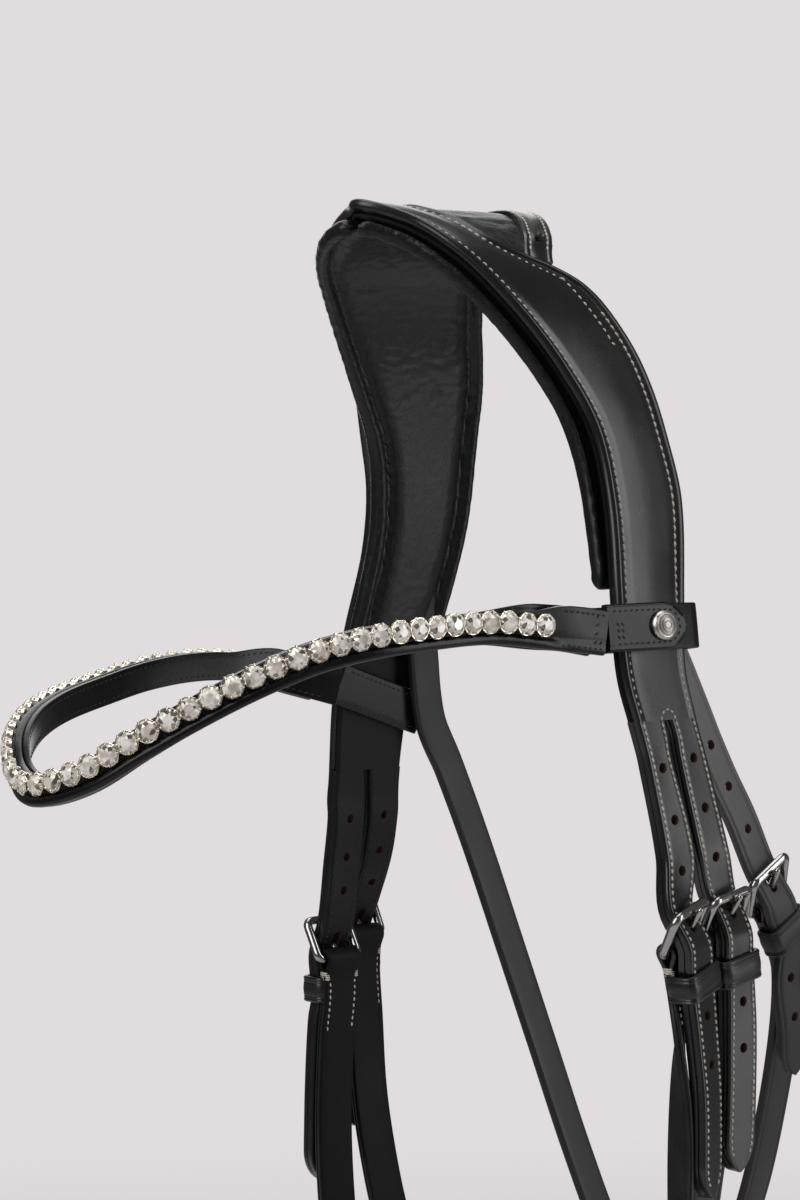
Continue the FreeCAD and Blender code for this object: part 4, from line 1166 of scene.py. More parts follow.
NEAR_CHEEK = [(-27.8, 73.0, -262, -42), (-28.2, 73.2, -285, -62), (-28.2, 73.0, -315, -64),
              (-27.8, 71.5, -350, -38), (-26.5, 68.6, -390, -8)]
FAR_CHEEK = [(-21.5, -91.5, -280), (-20.5, -91.8, -315), (-21.0, -89.5, -350), (-24.0, -86.0, -390)]
NEAR_HANGER = [(-51.0, 70.6, -262), (-49.0, 68.6, -290), (-46.0, 65.2, -325), (-43.8, 61.2, -366),
               (-43.5, 60.2, -380), (-43.5, 60.2, -401)]
FAR_HANGER = [(-43.4, -100.6, -275), (-42.6, -97.0, -305), (-42.8, -90.0, -335), (-43.3, -79.6, -366),
              (-43.5, -77.4, -380), (-43.5, -77.2, -401)]
THROATLASH = [(-87.8, 66.8, -243), (-94.0, 60.5, -265), (-100.0, 50.0, -295), (-104.5, 37.5, -328),
              (-107.5, 23.0, -356), (-109.0, 8.0, -373), (-109.5, -7.0, -379), (-109.3, -22.0, -374),
              (-107.8, -36.0, -358), (-104.0, -49.0, -328), (-97.5, -60.5, -290),
              (-88.0, -69.5, -250), (-76.5, -75.4, -212), (-64.5, -77.6, -183), (-55.6, -76.9, -168),
              (-51.8, -75.8, -157), (-48.7, -74.0, -144), (-43.0, -70.0, -125), (-38.0, -65.0, -108)]


def strap_way(points, key):
    """A strap's line, starting straight down from its buckle's lower bar."""
    place = BUCKLES[key]
    top = [tuple(set_point((0, 0, z), *place)) + (buckle_turn(place),) for z in (-4.5, -14.0)]
    return Way(top + points, FORWARD, place[0])


def plane_stations(path, to_row, axis):
    """Stations along a path drawn in a plane of a place, with their width along this axis of it."""
    width = axis_of(to_row, *axis)
    points = [to_row(*p) for p in path]
    last = len(points) - 1
    stations = []
    for i, p in enumerate(points):
        along = (points[min(i + 1, last)] - points[max(i - 1, 0)]).normalized()
        stations.append((p, along, width, along.cross(width)))
    return stations


FOLD_THICK = 1.7


def fold_mesh(name, to_row, width, material):
    """The strap's ply round a lower bar, both ends running down into the strap, with the tongue's slot."""
    r = WIRE + 0.5 + FOLD_THICK / 2
    side = [(0, 0.9, -11.0), (0, 0.9, -6.5), (0, 1.5, -4.0)]
    round_bar = [(0, r * math.cos(math.radians(a)), r * math.sin(math.radians(a)))
                 for a in range(-20, 201, 20)]
    path = side + round_bar + [(x, -y, z) for x, y, z in side[::-1]]
    stations = plane_stations(path, to_row, (1, 0, 0))
    section = strap_section(width, FOLD_THICK, 1.8, 0.1, 0.0)
    piece = sweep(name, stations, [section] * len(stations), material)
    tongue_slot(piece, to_row)
    return piece


def wrap_threads(threads, to_row, half, depth):
    """Four turns of thread round both edges of a strap, close under its buckle."""
    outward = axis_of(to_row, 0, 1, 0)
    for sign in (-1, 1):
        side = axis_of(to_row, sign, 0, 0)
        for i in range(4):
            z = -5.0 - 0.75 * i
            threads.stitch(to_row(sign * (half + 0.05), 0, z), outward, side, depth, 0.42)
            for y in (-1, 1):
                centre = to_row(sign * (half - 0.9), y * depth / 2, z)
                threads.stitch(centre, side, outward * y, 2.2, 0.42)


def edge_rows(threads, way, start, end, width, thick, pitch=FINE_PITCH, faces=(1, -1), inset=2.2):
    """Stitches beside both edges of a strap, on its outer face (1) and its inner face (-1)."""
    for face in faces:
        for sign in (-1, 1):
            points = []
            for d in spread(start, end, 3.0):
                p, along, w, n = way.at(d)
                side = w * sign * (width / 2 - inset)
                points.append((p + side + n * face * (thick / 2 + 0.03), n * face))
            threads.row(points, pitch, 0.34)


STRAPS = {
    "near_cheek": ("near_cheekpiece", NEAR_CHEEK + bit_loop(NEAR), CHEEK_WIDTH, "strap_leather"),
    "far_cheek": ("far_cheekpiece", FAR_CHEEK + bit_loop(FAR), CHEEK_WIDTH, "strap_leather"),
    "near_nose": ("near_nose_hanger", NEAR_HANGER, CHEEK_WIDTH, "strap_leather"),
    "far_nose": ("far_nose_hanger", FAR_HANGER, CHEEK_WIDTH, "strap_leather"),
    "near_throat": ("throatlash", THROATLASH, THROAT_WIDTH, "throat_leather"),
}


def blend_throat(obj):
    """Bakes the placement of the throatlash or its billet into its mesh."""
    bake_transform(obj)


for key, (node_name, points, width, slot) in STRAPS.items():
    place = BUCKLES[key]
    body = STRAP_BODY[key]
    way = strap_way(points, key)
    throat = key == "near_throat"
    material = THROAT if throat else STRAP
    # the far folds take the darker inner-side leather: painted shade on the far side
    fold_leather = INNER_SIDE_AND_FAR_SHADE if key.startswith("far") else material
    piece = strap_mesh(node_name + "_strap", way, width, STRAP_THICK, material, start=1.5, step=3.0,
                       plies=not throat, crease=1.9, groove=0.16)
    folded = fold_mesh(node_name + "_fold", placed(place), width - 1.2, fold_leather)
    if not throat:
        threads = Threads()
        edge_rows(threads, way, 3.5, 23.0, width, STRAP_THICK)
        thread = threads.make(node_name + "_stitching", CREAM)
    wraps = Threads()
    wrap_threads(wraps, placed(place), width / 2 - 0.4, STRAP_THICK)
    wrap = wraps.make(node_name + "_wraps", GREY_THREAD if throat else CREAM)
    if not throat:
        set_under(piece, way, FLESH if key == "near_cheek" else INNER_SIDE_AND_FAR_SHADE, 160)
    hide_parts(node_name)
    if throat:
        blend_throat(piece)
        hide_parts("far_throat_tab")
    else:
        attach(piece, body)
        finish_piece(thread, body, slot)
    for obj in (folded, wrap):
        finish_piece(obj, body, slot)

# the cheekpieces' ends, sewn back on themselves above the bit rings
for side, word in ((NEAR, "near"), (FAR, "far")):
    place = (side, (RING_X, MIDDLE_Y + side * RING_HALF, LOOP_TOP + 57.5))
    piece = keeper_mesh(word + "_bit_keeper_loop", placed(place), CHEEK_WIDTH + 0.6,
                        LOOP_IN - CAD_STRAP - 0.6, LOOP_IN + CAD_STRAP + 2.4, STRAP)
    finish_piece(piece, "cheeks", "strap_leather", [word + "_bit_keeper"])

# ---------------------------------------------------------------- throat billet

THROAT_TOP = [(-33.0, 55.6, -118), (-36.5, 57.2, -129), (-42.0, 59.8, -143), (-46.2, 62.4, -155),
              (-50.0, 64.6, -166), (-55.3, 66.6, -178), (-61.8, 68.8, -191)]
THROAT_TAIL = [(-83.5, 71.0, -247), (-88.5, 69.0, -264), (-92.5, 65.8, -281)]
throat_row = placed(BUCKLES["near_throat"])
through = [tuple(throat_row(0, y, z))
           for y, z in ((3.3, FRAME_RISE), (5.6, 1.0), (5.2, -7.5), (4.6, -16.0))]
throat_way = Way(THROAT_TOP + through + THROAT_TAIL, FORWARD, NEAR)
throat_billet = strap_mesh("near_throat_billet", throat_way, THROAT_WIDTH + 1, THROAT_BILLET,
                           THROAT_TOP_SHEEN_LEATHER, step=2.0, tip=11.0, crease=2.0, groove=0.2)
hole_ds = rows_at_heights(throat_way, (-166.0, -180.0, -194.5, -246.0, -260.0))
tongue_d = rows_at_heights(throat_way, [throat_row(0, 4.3, 7.5).z])[0]
punch_row(throat_billet, throat_way, hole_ds, tongue_d)
blend_throat(throat_billet)
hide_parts("throat_billet", "near_throat_tab")

# ---------------------------------------------------------------- browband

BROWBAND_WIDTH = 15.0
TAB = 3.0
STONE_PITCH = 7.0
STONE_COUNT = 55
BROWBAND = [(5.5, 70.6, -126), (18, 69.6, -124.5), (31, 67.5, -123.5), (52, 64.2, -122),
            (73, 62.5, -123), (94, 60.3, -125), (113.5, 55.5, -129), (130.5, 48, -136),
            (145, 37.2, -145), (157, 24.5, -155), (165, 9.5, -165), (168.7, -8.5, -170),
            (165.5, -22, -168), (157.5, -36, -162), (147, -48, -157), (134, -59, -153),
            (117, -69.5, -149.5), (96, -77.5, -146), (73, -82.5, -142), (50, -85, -140),
            (28, -86.6, -141), (8, -88.3, -145), (-8.2, -89.4, -148.8)]
LOOP_ROOM = 3.8          # half the room between the two walls of a headpiece loop
LOOP_WALL = 2.2
LOOP_HEIGHT = 15.0
FLAP_LENGTH = 31.0
SNAP_X = 21.5            # from a flap's hinge to its snap
# (side, middle, lean, turn, tilt) and the loop's half length
LOOPS = {
    "near": ((NEAR, (-18.5, 65.6, -126.0), 0.0, 0.0, 7.2), 19.0),
    "far": ((FAR, (-33.1, -84.0, -156.4), -18.0, 0.0, 11.0), 21.0),
}


def set_off(points, distance):
    """A level line moved outward by a distance."""
    moved = []
    for i, p in enumerate(points):
        a = Vector(points[max(i - 1, 0)][:3])
        b = Vector(points[min(i + 1, len(points) - 1)][:3])
        outward = UP.cross(b - a).normalized()
        moved.append((p[0] + outward.x * distance, p[1] + outward.y * distance, p[2]))
    return moved


band_way = Way(BROWBAND, UP, NEAR)


def band_edges(d, length):
    """Lower and upper edge of the band about the stones' line: cut down between its tabs."""
    cut = ease(d, 14, 40) * ease(length - d, 10, 34)
    return -8.0 + 0.7 * cut, 6.6 - 4.0 * cut


def band_profile(channel, low_edge, high_edge):
    """The browband's section: flat at its tabs, with a rolled lower edge under the stones."""
    h = (high_edge - low_edge) / 2
    middle = (high_edge + low_edge) / 2
    t = TAB / 2
    roll = 1.15 * channel
    low = [(-h + 0.1, t - 0.6 + roll * 0.4), (-h + 0.6, t - 0.1 + roll * 0.75),
           (-h + 1.5, t + 0.02 + roll), (-h + 2.5, t + 0.04 + roll * 0.85),
           (-h + 3.3, t + roll * 0.35), (-h + 3.8, t - 0.15), (-h + 4.6, t - 0.02)]
    high = [(h - 2.2, t - 0.02), (h - 1.7, t - 0.12 + 0.1 * channel), (h - 1.2, t), (h - 0.4, t - 0.15)]
    back = [(h, t - 0.8), (h, -t + 0.7), (h - 0.5, -t + 0.1), (h - 1.2, -t),
            (-h + 1.2, -t), (-h + 0.5, -t + 0.1), (-h, -t + 0.7), (-h, t - 1.0)]
    return [(u + middle, v) for u, v in low + [(0.6, t + 0.06)] + high + back]


ds = spread(0, band_way.length, 2.5)
sections = []
for d in ds:
    channel = ease(d, 17, 24) * ease(band_way.length - d, 13, 20)
    sections.append(band_profile(channel, *band_edges(d, band_way.length)))
band = sweep("browband_channel_leather", [band_way.at(d) for d in ds], sections, BAND)
finish_piece(band, "browband", "browband_leather", ["browband_leather"])

lining_points = set_off(BROWBAND, -(TAB / 2 + 1.0 + 0.1))
near_place, near_half = LOOPS["near"]
far_place, far_half = LOOPS["far"]


def loop_path_points(half):
    """The loop strap's middle line (x, y): from under the flap round the rear to the front inside."""
    y = LOOP_ROOM + LOOP_WALL / 2
    x = half + LOOP_WALL / 2
    r = 2.9
    points = [(4.0 - i * 4.0, y) for i in range(int((4.0 + x - r) / 4.0) + 1)]
    points += ring_arc(r - x, y - r, r, 95, 180, 5)
    points += ring_arc(r - x, r - y, r, 180, 270, 5)
    span = x - r + half + 2.4
    return points + [(-x + r + span * i / 9, -y) for i in range(1, 10)]


for word, (place, half) in LOOPS.items():
    path = [(x, y, 0) for x, y in loop_path_points(half)]
    stations = plane_stations(path, placed(place), (0, 0, 1))
    section = strap_section(LOOP_HEIGHT, LOOP_WALL, 1.7, 0.2, 0.05)
    if word == "near":
        section = [(u, -v) for u, v in section]
    piece = sweep(word + "_headpiece_loop", stations, [section] * len(stations), BAND)
    finish_piece(piece, "browband", "browband_leather", [word + "_loop_strap"])

near_start = set_point((near_half + 2.0, -LOOP_ROOM - 1.1, 0), *near_place)
far_start = set_point((far_half + 2.0, -LOOP_ROOM - 1.1, 0), *far_place)
lining_line = [tuple(near_start), (17.0, 62.6, -124.5)] + lining_points[2:-2]
lining_line += [(9.0, -82.9, -144.8), tuple(far_start)]
lining_way = Way(lining_line, UP, NEAR)


def lining_edges(d):
    return band_edges(d - 15, lining_way.length - 30)


lining = strap_mesh("browband_lining_strap", lining_way, BROWBAND_WIDTH, 2.0, BAND, step=3.0,
                    crease=1.8, groove=0.12,
                    widths=lambda d: lining_edges(d)[1] - lining_edges(d)[0],
                    shift=lambda d: sum(lining_edges(d)) / 2)
finish_piece(lining, "browband", "browband_leather", ["browband_lining"])

def band_row(start, end, step, u, v):
    """Points and outward directions on the browband's outer face, at u across."""
    found = []
    for d in spread(start, end, step):
        p, along, w, n = band_way.at(d)
        found.append((p + w * u + n * v, n))
    return found


band_stitches = Threads()
for sign in (-1, 1):
    for start, end in ((1.0, 19.5), (band_way.length - 15.5, band_way.length - 1.0)):
        band_stitches.row(band_row(start, end, 2.5, sign * 5.4 - 0.7, TAB / 2 + 0.02), 2.2, 0.33)
for x in (-4.2, -1.4, 1.4, 4.2):
    for start in (1.2, 3.4):
        band_stitches.row(band_row(start, start + 2.0, 1.0, x, TAB / 2 + 0.05), 2.0, 0.36, 0.95, 40)
for place, half in LOOPS.values():
    to_row = placed(place)
    for face, y in ((1, -LOOP_ROOM + 0.08), (-1, -LOOP_ROOM - LOOP_WALL - 0.03)):
        for z in (-5.4, 5.4):
            outward = axis_of(to_row, 0, face, 0)
            points = [(to_row(x, y, z), outward) for x in spread(-half + 3, half, 3.0)]
            band_stitches.row(points, 2.4, 0.33)
for edge, sign in ((0, 1), (1, -1)):
    points = []
    for d in spread(4, lining_way.length - 4, 4.0):
        p, along, w, n = lining_way.at(d)
        points.append((p + w * (lining_edges(d)[edge] + sign * 1.7) - n * 1.02, -n))
    band_stitches.row(points, 2.6, 0.3)
finish_piece(band_stitches.make("browband_stitching", BLACK_THREAD), "browband", "browband_leather")

# flaps, with their snap caps
FLAP_RISE = 8.0


def flap_place(word):
    """The flap's own frame: hinge at the origin, flap along -X, its outer face at Y 0."""
    place, half = LOOPS[word]
    hinge = (half + 4.0, LOOP_ROOM + TAB, 0)
    turn = Matrix.Rotation(math.radians(-FLAP_RISE), 3, "Z")

    def to_row(x, y, z):
        q = turn @ Vector((x, y, z))
        return set_point((q.x + hinge[0], q.y + hinge[1], q.z), *place)

    return to_row


def add_lathe(verts, faces, profile, centre, side, axis, segments):
    """Adds a turned shape: its profile is (radius, height) and side is where its first ring stands."""
    other = axis.cross(side)
    base = len(verts)
    rings = len(profile)
    for k in range(segments):
        a = 2 * math.pi * k / segments
        around = side * math.cos(a) + other * math.sin(a)
        verts += [centre + around * r + axis * h for r, h in profile]
    for k in range(segments):
        for j in range(rings - 1):
            a = base + k * rings + j
            b = base + ((k + 1) % segments) * rings + j
            faces.append((a, b, b + 1, a + 1))


CAP_PROFILE = [(0.0, 2.75), (1.0, 2.72), (1.25, 2.55), (1.5, 2.7), (2.3, 2.58), (2.6, 2.38),
               (2.9, 2.5), (3.4, 2.3), (3.65, 2.05), (3.95, 2.12), (4.45, 1.75), (4.85, 1.15),
               (4.98, 0.5), (4.9, 0.0), (0.0, 0.0)]
for word in LOOPS:
    to_row = flap_place(word)
    ds = spread(-0.6, FLAP_LENGTH - 8, 2.5) + [FLAP_LENGTH - 8 * (1 - i / 12) ** 1.6 for i in range(1, 13)]
    stations = []
    for d in ds:
        p = to_row(-d, -TAB / 2, 0)
        along = (to_row(-d - 1, -TAB / 2, 0) - p).normalized()
        width = (to_row(-d, -TAB / 2, 1) - p).normalized()
        outward = (to_row(-d, -TAB / 2 + 1, 0) - p).normalized()
        stations.append((p, along, width, outward))
    sections = []
    for d in ds:
        left = max(FLAP_LENGTH - d, 0) / 8.0
        factor = max(0.1, math.sqrt(max(1 - (1 - min(left, 1)) ** 2, 0)))
        section = strap_section(LOOP_HEIGHT + 0.4, TAB, 1.3, 0.12, 0.12, plies=True)
        sections.append([(u * factor, v) for u, v in section])
    flap = sweep(word + "_flap_leather", stations, sections, BAND)
    finish_piece(flap, word + "_flap", "browband_leather", [word + "_flap"])
    flap_stitches = Threads()
    outward = stations[0][3]
    side_row = [(-1.0, 5.3), (-8.0, 5.3), (-16.0, 5.3), (-23.0, 5.2)]
    outline = side_row + ring_arc(-23.2, 0, 5.3, 105, 255, 10) + [(x, -z) for x, z in side_row[::-1]]
    flap_stitches.row([(to_row(x, 0.07, z), outward) for x, z in outline], FINE_PITCH, 0.34)
    for x in (-3.2, -5.0):
        flap_stitches.row([(to_row(x, 0.12, z), outward) for z in (-4.2, 0, 4.2)], 2.1, 0.36, 0.9, 42)
    flap_thread = flap_stitches.make(word + "_flap_stitching", BLACK_THREAD)
    finish_piece(flap_thread, word + "_flap", "browband_leather")
    cap_verts = []
    cap_faces = []
    start_side = outward.orthogonal().normalized()
    add_lathe(cap_verts, cap_faces, CAP_PROFILE, to_row(-SNAP_X, 0.05, 0), start_side, outward, 48)
    cap = make_mesh(word + "_snap_cap_rings", cap_verts, cap_faces, CAP_STEEL, sharp=28)
    finish_piece(cap, word + "_flap", "cap_steel", [word + "_snap_cap"])

# stones in claw settings
stone_way = Way(set_off(BROWBAND, TAB / 2 - 0.05), UP, NEAR)
CUP = [(2.4, 0.0), (3.1, 0.15), (3.35, 0.8), (3.42, 1.3), (3.65, 1.75), (3.7, 2.1), (3.6, 2.3),
       (3.35, 2.28), (3.15, 1.9), (2.3, 1.0), (1.0, 0.6), (0.0, 0.55)]
first = (stone_way.length - STONE_PITCH * (STONE_COUNT - 1)) / 2 + 1.5
# brilliant cut: rows of (radius, height, corners, turn) for the table, the stars and the girdle
GEM_ROWS = [(1.55, 3.75, 8, 0.5), (2.5, 3.25, 8, 0.0), (3.25, 2.35, 16, 0.0), (3.25, 2.1, 16, 0.0)]

cup_verts = []
cup_faces = []
claws = Threads()
gem_verts = []
gem_faces = []
# each facet of a stone takes a bright, mid or dark crystal material: painted glints and dark reflections
# in place of the light a cut stone returns
painted_glint_tones = []
for i in range(STONE_COUNT):
    seat, along, width, outward = stone_way.at(first + i * STONE_PITCH)
    tilt = Quaternion(along, random.uniform(-0.05, 0.05))
    tilt = tilt @ Quaternion(width, random.uniform(-0.05, 0.05))
    axis = tilt @ outward
    side = (along - axis * along.dot(axis)).normalized()
    spin = random.uniform(-0.15, 0.15)
    side = Quaternion(axis, spin) @ side
    other = axis.cross(side)
    add_lathe(cup_verts, cup_faces, CUP, seat, side, axis, 20)
    for k in range(8):
        a = math.pi / 8 + k * math.pi / 4
        around = side * math.cos(a) + other * math.sin(a)
        claws.stitch(seat + around * 3.55 + axis * 1.75, axis, around, 1.9, 0.4)
        inward = (-around * 0.85 + axis * 0.3).normalized()
        claws.stitch(seat + around * 3.2 + axis * 2.58, inward, axis, 1.1, 0.4)
    starts = []
    for r, h, count, shift in GEM_ROWS:
        starts.append(len(gem_verts))
        for k in range(count):
            a = 2 * math.pi * (k + shift) / count
            gem_verts.append(seat + (side * math.cos(a) + other * math.sin(a)) * r + axis * h)
    table_row, star_row, girdle, under = starts
    gem_faces.append(tuple(table_row + k for k in range(8)))
    painted_glint_tones.append(random.choice((0, 0, 1)))
    for k in range(8):
        next_star = star_row + (k + 1) % 8
        gem_faces.append((table_row + (k - 1) % 8, star_row + k, table_row + k))
        gem_faces.append((table_row + k, star_row + k, girdle + (2 * k + 1) % 16, next_star))
        gem_faces.append((star_row + k, girdle + 2 * k, girdle + (2 * k + 1) % 16))
        gem_faces.append((star_row + k, girdle + (2 * k - 1) % 16, girdle + 2 * k))
        painted_glint_tones += [random.choice((0, 1, 2, 0)) for _ in range(4)]
    for k in range(16):
        m = (k + 1) % 16
        gem_faces.append((girdle + k, under + k, under + m, girdle + m))
        painted_glint_tones.append(1)
    gem_faces.append(tuple(under + k for k in range(16)))
    painted_glint_tones.append(2)

cups = make_mesh("stone_settings", cup_verts, cup_faces, SETTING, sharp=30)
finish_piece(cups, "browband", "setting_metal", ["browband_settings"])
finish_piece(claws.make("stone_claws", SETTING), "browband", "setting_metal")


def facet(name, color, roughness, metallic):
    mat, tree, shader = new_material(name, color, roughness, metallic)
    place = node(tree, "ShaderNodeTexCoord").outputs["Object"]
    # darker patches over the facets: painted dark reflections
    dark_reflection_noise = node(tree, "ShaderNodeTexNoise", Scale=420.0, Detail=1.0)
    tree.links.new(place, dark_reflection_noise.inputs["Vector"])
    amount = ramp(tree, dark_reflection_noise.outputs["Fac"], 0.4, 0.65, 0.0, 1.0)
    reflection_shade = tuple(c * k for c, k in zip(color, (0.62, 0.6, 0.56)))
    tree.links.new(mix_color(tree, amount, color, reflection_shade), shader.inputs["Base Color"])
    shader.inputs["Coat Weight"].default_value = 1.0
    shader.inputs["Coat Roughness"].default_value = 0.0
    return mat


gem_mesh = bpy.data.meshes.new("stones")
gem_mesh.from_pydata([tuple(c * MM for c in v) for v in gem_verts], [], gem_faces)
# the three crystal materials are a painted glint, a painted half-light and a painted dark reflection
gem_mesh.materials.append(facet("crystal_painted_glint", (1.0, 0.96, 0.89), 0.1, 0.0))
gem_mesh.materials.append(facet("crystal_painted_midtone", (0.92, 0.86, 0.77), 0.07, 0.2))
gem_mesh.materials.append(facet("crystal_painted_dark_reflection", (0.34, 0.31, 0.27), 0.05, 0.6))
gem_mesh.polygons.foreach_set("material_index", painted_glint_tones)
bm = bmesh.new()
bm.from_mesh(gem_mesh)
bmesh.ops.recalc_face_normals(bm, faces=bm.faces)
bm.to_mesh(gem_mesh)
bm.free()
gems = bpy.data.objects.new("faceted_stones", gem_mesh)
bpy.context.scene.collection.objects.link(gems)
finish_piece(gems, "browband", "crystal", ["browband_stones"])

# ---------------------------------------------------------------- noseband and chin strap

NOSE_Z = -386.0
NOSE_WIDTH = 24.0
NOSE_THICK = 4.0
NOSE_PAD = 7.0
NOSE_SIDE = [(-46, 63), (-25, 65), (5, 65), (40, 60), (72, 46), (95, 24)]
NOSE_FRONT = 103.0


def round_the_nose(side_points, inward=0.0):
    near = [(x, MIDDLE_Y + y, NOSE_Z) for x, y in side_points]
    far = [(x, MIDDLE_Y - y, NOSE_Z) for x, y in reversed(side_points)]
    line = near + [(NOSE_FRONT, MIDDLE_Y, NOSE_Z)] + far
    return set_off(line, inward) if inward else line


nose_way = Way(round_the_nose(NOSE_SIDE), UP, NEAR)
noseband = strap_mesh("noseband_leather", nose_way, NOSE_WIDTH, NOSE_THICK, OUTER, step=3.0,
                      crease=2.6, groove=0.3, plies=True)
finish_piece(noseband, "noseband", "outer_leather", ["noseband"])
nose_threads = Threads()
edge_rows(nose_threads, nose_way, 3, nose_way.length - 3, NOSE_WIDTH, NOSE_THICK, CREAM_PITCH,
          faces=(1,), inset=2.7)

pad_way = Way(round_the_nose(NOSE_SIDE[1:], -(NOSE_THICK / 2 + NOSE_PAD / 2 + 0.1)), UP, NEAR)


def nose_pad_section(full):
    """The pad's section: a roll along each edge and a shallow middle, lower near the pad's ends."""
    h = (NOSE_WIDTH + 8) / 2
    t = NOSE_PAD / 2
    half = [(0, -t * 0.92), (h * 0.35, -t * 0.92), (h * 0.62, -t * 0.8), (h * 0.74, -t * 0.55),
            (h * 0.84, -t * 0.9), (h * 0.93, -t * 0.98), (h - 0.5, -t * 0.7), (h, -t * 0.1),
            (h - 0.4, t * 0.5), (h * 0.9, t * 0.92), (h * 0.78, t)]
    loop = half + [(-u, v) for u, v in reversed(half[1:])]
    return [(u * (0.86 + 0.14 * full), v * full if v < 0 else v) for u, v in loop]


ds = spread(0, pad_way.length, 2.5)
sections = []
for d in ds:
    t = min(min(d, pad_way.length - d) / 6.0, 1.0)
    sections.append(nose_pad_section(max(0.25, math.sqrt(1 - (1 - t) ** 2))))
nose_pad = sweep("noseband_pad", [pad_way.at(d) for d in ds], sections, SOFT)
crumple(nose_pad, 0.35, 8.0, None, 3.0)
finish_piece(nose_pad, "noseband", "pad_leather", ["nose_pad"])

CHIN_BAR = Vector((-64.0, MIDDLE_Y + 50.0, NOSE_Z))
CHIN_LEAN = 25.0
CHIN_STRAP = 15.0
CHIN_BACK = [(-90, 27), (-95, 8), (-94, -12), (-87.5, -31), (-75.5, -46), (-60, -55), (-46, -58.6),
             (-34, -60)]
CHIN_AXIS = Vector((-math.cos(math.radians(CHIN_LEAN)), -math.sin(math.radians(CHIN_LEAN)), 0))
CHIN_OUT = CHIN_AXIS.cross(UP)


def chin_row(x, y, z):
    """From the chin buckle's own frame (up, outward, along the strap) to the row frame."""
    return CHIN_BAR + CHIN_OUT * y + CHIN_AXIS * z + UP * x


CHIN_TIP = ((4.4, -18), (5.0, -7.5), (5.6, 1.0), (3.1, FRAME_RISE), (2.4, 21))
chin_line = [tuple(chin_row(0, y, z)) for y, z in CHIN_TIP]
chin_line += [(x, MIDDLE_Y + y, NOSE_Z) for x, y in CHIN_BACK]
chin_way = Way(chin_line, UP, FAR)
chin_strap = strap_mesh("chin_strap_leather", chin_way, CHIN_STRAP, THROAT_BILLET, STRAP, step=3.0,
                        head=12.0, plies=True)
punch_row(chin_strap, chin_way, [6.0, 11.5, 36.0, 50.0], 19.4)
finish_piece(chin_strap, "noseband", "strap_leather", ["chin_strap"])
chin_tab_line = [tuple(chin_row(0, 0, -4.5)), tuple(chin_row(0, 0, -14))]
chin_tab_line += [(-44, MIDDLE_Y + 58.6, NOSE_Z), (-34, MIDDLE_Y + 59.9, NOSE_Z)]
chin_tab_way = Way(chin_tab_line, UP, NEAR)
chin_tab = strap_mesh("chin_tab_leather", chin_tab_way, CHEEK_WIDTH, STRAP_THICK, STRAP, start=1.5,
                      step=3.0, plies=True)
finish_piece(chin_tab, "noseband", "strap_leather", ["chin_tab"])
edge_rows(nose_threads, chin_tab_way, 14, chin_tab_way.length - 2, CHEEK_WIDTH, STRAP_THICK,
          faces=(1,))
edge_rows(nose_threads, nose_way, 3, 14, NOSE_WIDTH, NOSE_THICK, CREAM_PITCH, faces=(1,), inset=6.0)
finish_piece(nose_threads.make("noseband_stitching", CREAM), "noseband", "outer_leather")

chin_fold = fold_mesh("chin_fold", chin_row, CHEEK_WIDTH - 1.2, STRAP)
finish_piece(chin_fold, "noseband", "strap_leather")
chin_keeper = keeper_mesh("chin_keeper_loop", chin_row, CHEEK_WIDTH + 0.8, -STRAP_THICK / 2 - 0.2, 6.9,
                          STRAP)
finish_piece(chin_keeper, "noseband", "strap_leather", ["chin_keeper"])

# ---------------------------------------------------------------- metal kept from the CAD

for name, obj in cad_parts.items():
    if name.endswith(("_buckle", "_tongue")) or name in ("poll_rivet", "snap_studs"):
        material = STEEL
    elif name.endswith(("_bit_ring", "_mouthpiece_arm")) or name in ("centre_link", "hook_studs"):
        material = BIT_STEEL
    else:
        continue
    obj.data.materials.clear()
    obj.data.materials.append(material)
    shade_smooth(obj.data, 35)

# ---------------------------------------------------------------- studio

FLOOR_Z = cad_box[0].z - 0.002
BACKDROP = (0.755, 0.715, 0.725)


def backdrop_floor():
    """A round floor just under the lowest point, fading out toward its rim."""
    bm = bmesh.new()
    bmesh.ops.create_circle(bm, cap_ends=True, segments=96, radius=1.15)
    mesh = bpy.data.meshes.new("floor")
    bm.to_mesh(mesh)
    bm.free()
    floor = bpy.data.objects.new("floor", mesh)
    floor.location = (0.0, 0.0, FLOOR_Z)
    bpy.context.scene.collection.objects.link(floor)
    mat, tree, shader = new_material("floor", (0.78, 0.75, 0.755), 0.8)
    place = node(tree, "ShaderNodeTexCoord").outputs["Object"]
    length = tree.nodes.new("ShaderNodeVectorMath")
    length.operation = "LENGTH"
    tree.links.new(place, length.inputs[0])
    fade = ramp(tree, length.outputs["Value"], 0.45, 1.1, 1.0, 0.0)
    tree.links.new(fade, shader.inputs["Alpha"])
    mesh.materials.append(mat)


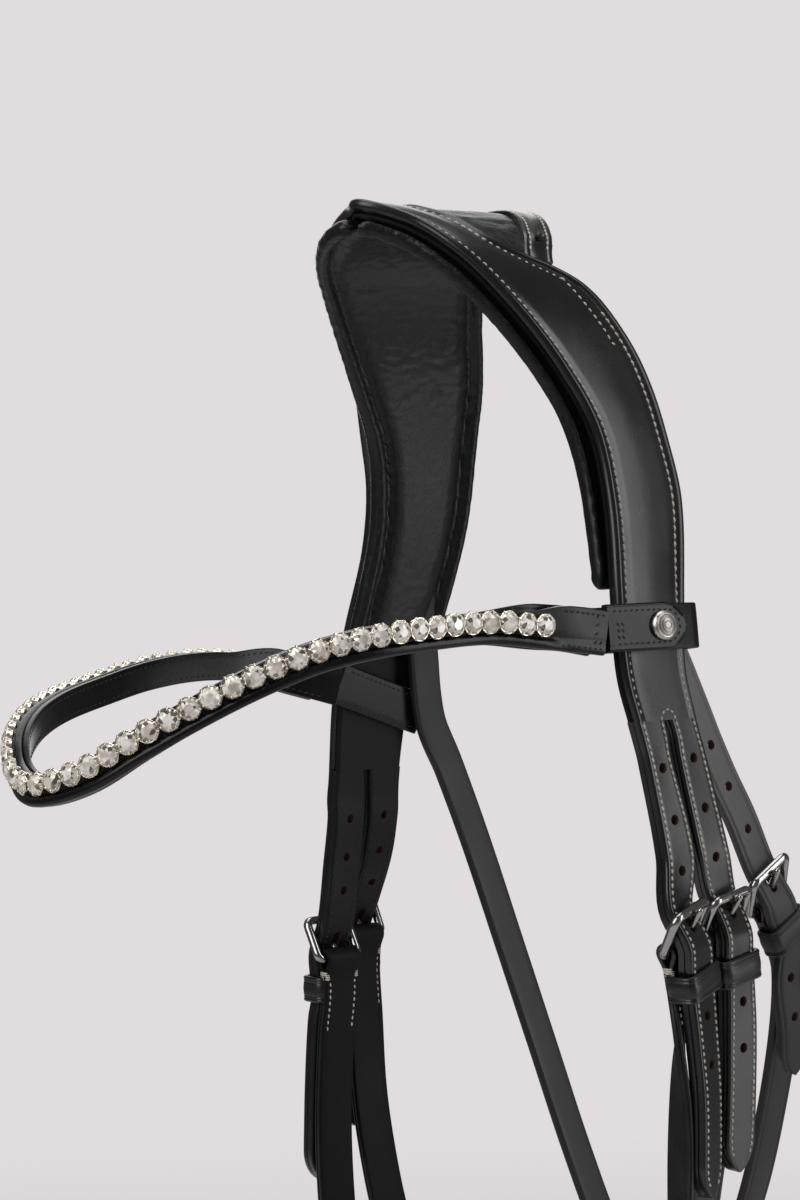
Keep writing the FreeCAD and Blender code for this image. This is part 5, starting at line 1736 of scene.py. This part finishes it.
def soft_box(name, location, target, size, energy):
    """A rectangular light turned toward its target."""
    light = bpy.data.lights.new(name, "AREA")
    light.shape = "RECTANGLE"
    light.size, light.size_y = size
    light.energy = energy
    obj = bpy.data.objects.new(name, light)
    obj.location = location
    obj.rotation_euler = (Vector(target) - Vector(location)).to_track_quat("-Z", "Y").to_euler()
    bpy.context.scene.collection.objects.link(obj)


backdrop_floor()
soft_box("key", (1.5, 0.2, 0.75), (0, 0, -0.15), (1.2, 1.6), 20.0)
soft_box("side", (-0.9, 1.35, 0.35), (0, 0, -0.2), (0.5, 1.6), 9.0)
soft_box("top", (-0.1, -0.1, 1.3), (0, 0, -0.1), (1.1, 1.1), 9.0)
soft_box("back", (-0.9, -1.2, 0.3), (0, 0, -0.2), (0.9, 1.4), 6.0)
soft_box("low", (-1.0, 1.0, -0.5), (0, -0.05, -0.12), (0.6, 0.6), 1.6)

world = bpy.data.worlds.new("studio")
world.use_nodes = True
tree = world.node_tree
seen = tree.nodes["Background"]
seen.inputs["Color"].default_value = (*BACKDROP, 1)
room = tree.nodes.new("ShaderNodeBackground")
room.inputs["Color"].default_value = (0.72, 0.70, 0.72, 1)
room.inputs["Strength"].default_value = 0.16
choice = tree.nodes.new("ShaderNodeMixShader")
tree.links.new(tree.nodes.new("ShaderNodeLightPath").outputs["Is Camera Ray"], choice.inputs[0])
tree.links.new(room.outputs[0], choice.inputs[1])
tree.links.new(seen.outputs[0], choice.inputs[2])
tree.links.new(choice.outputs[0], tree.nodes["World Output"].inputs["Surface"])
bpy.context.scene.world = world
bpy.context.scene.view_settings.view_transform = "Standard"

camera_data = bpy.data.cameras.new("camera")
camera_data.lens = 92.4
camera_data.sensor_width = 36.0
camera_data.clip_start = 0.05
camera = bpy.data.objects.new("camera", camera_data)
AZIMUTH = math.radians(42)
RISE = math.radians(2)
toward = Vector((math.cos(RISE) * math.sin(AZIMUTH), math.cos(RISE) * math.cos(AZIMUTH), math.sin(RISE)))
camera.location = (0.70981, 0.75561, -0.08196)
camera.rotation_euler = (-toward).to_track_quat("-Z", "Y").to_euler()
bpy.context.scene.collection.objects.link(camera)
bpy.context.scene.camera = camera
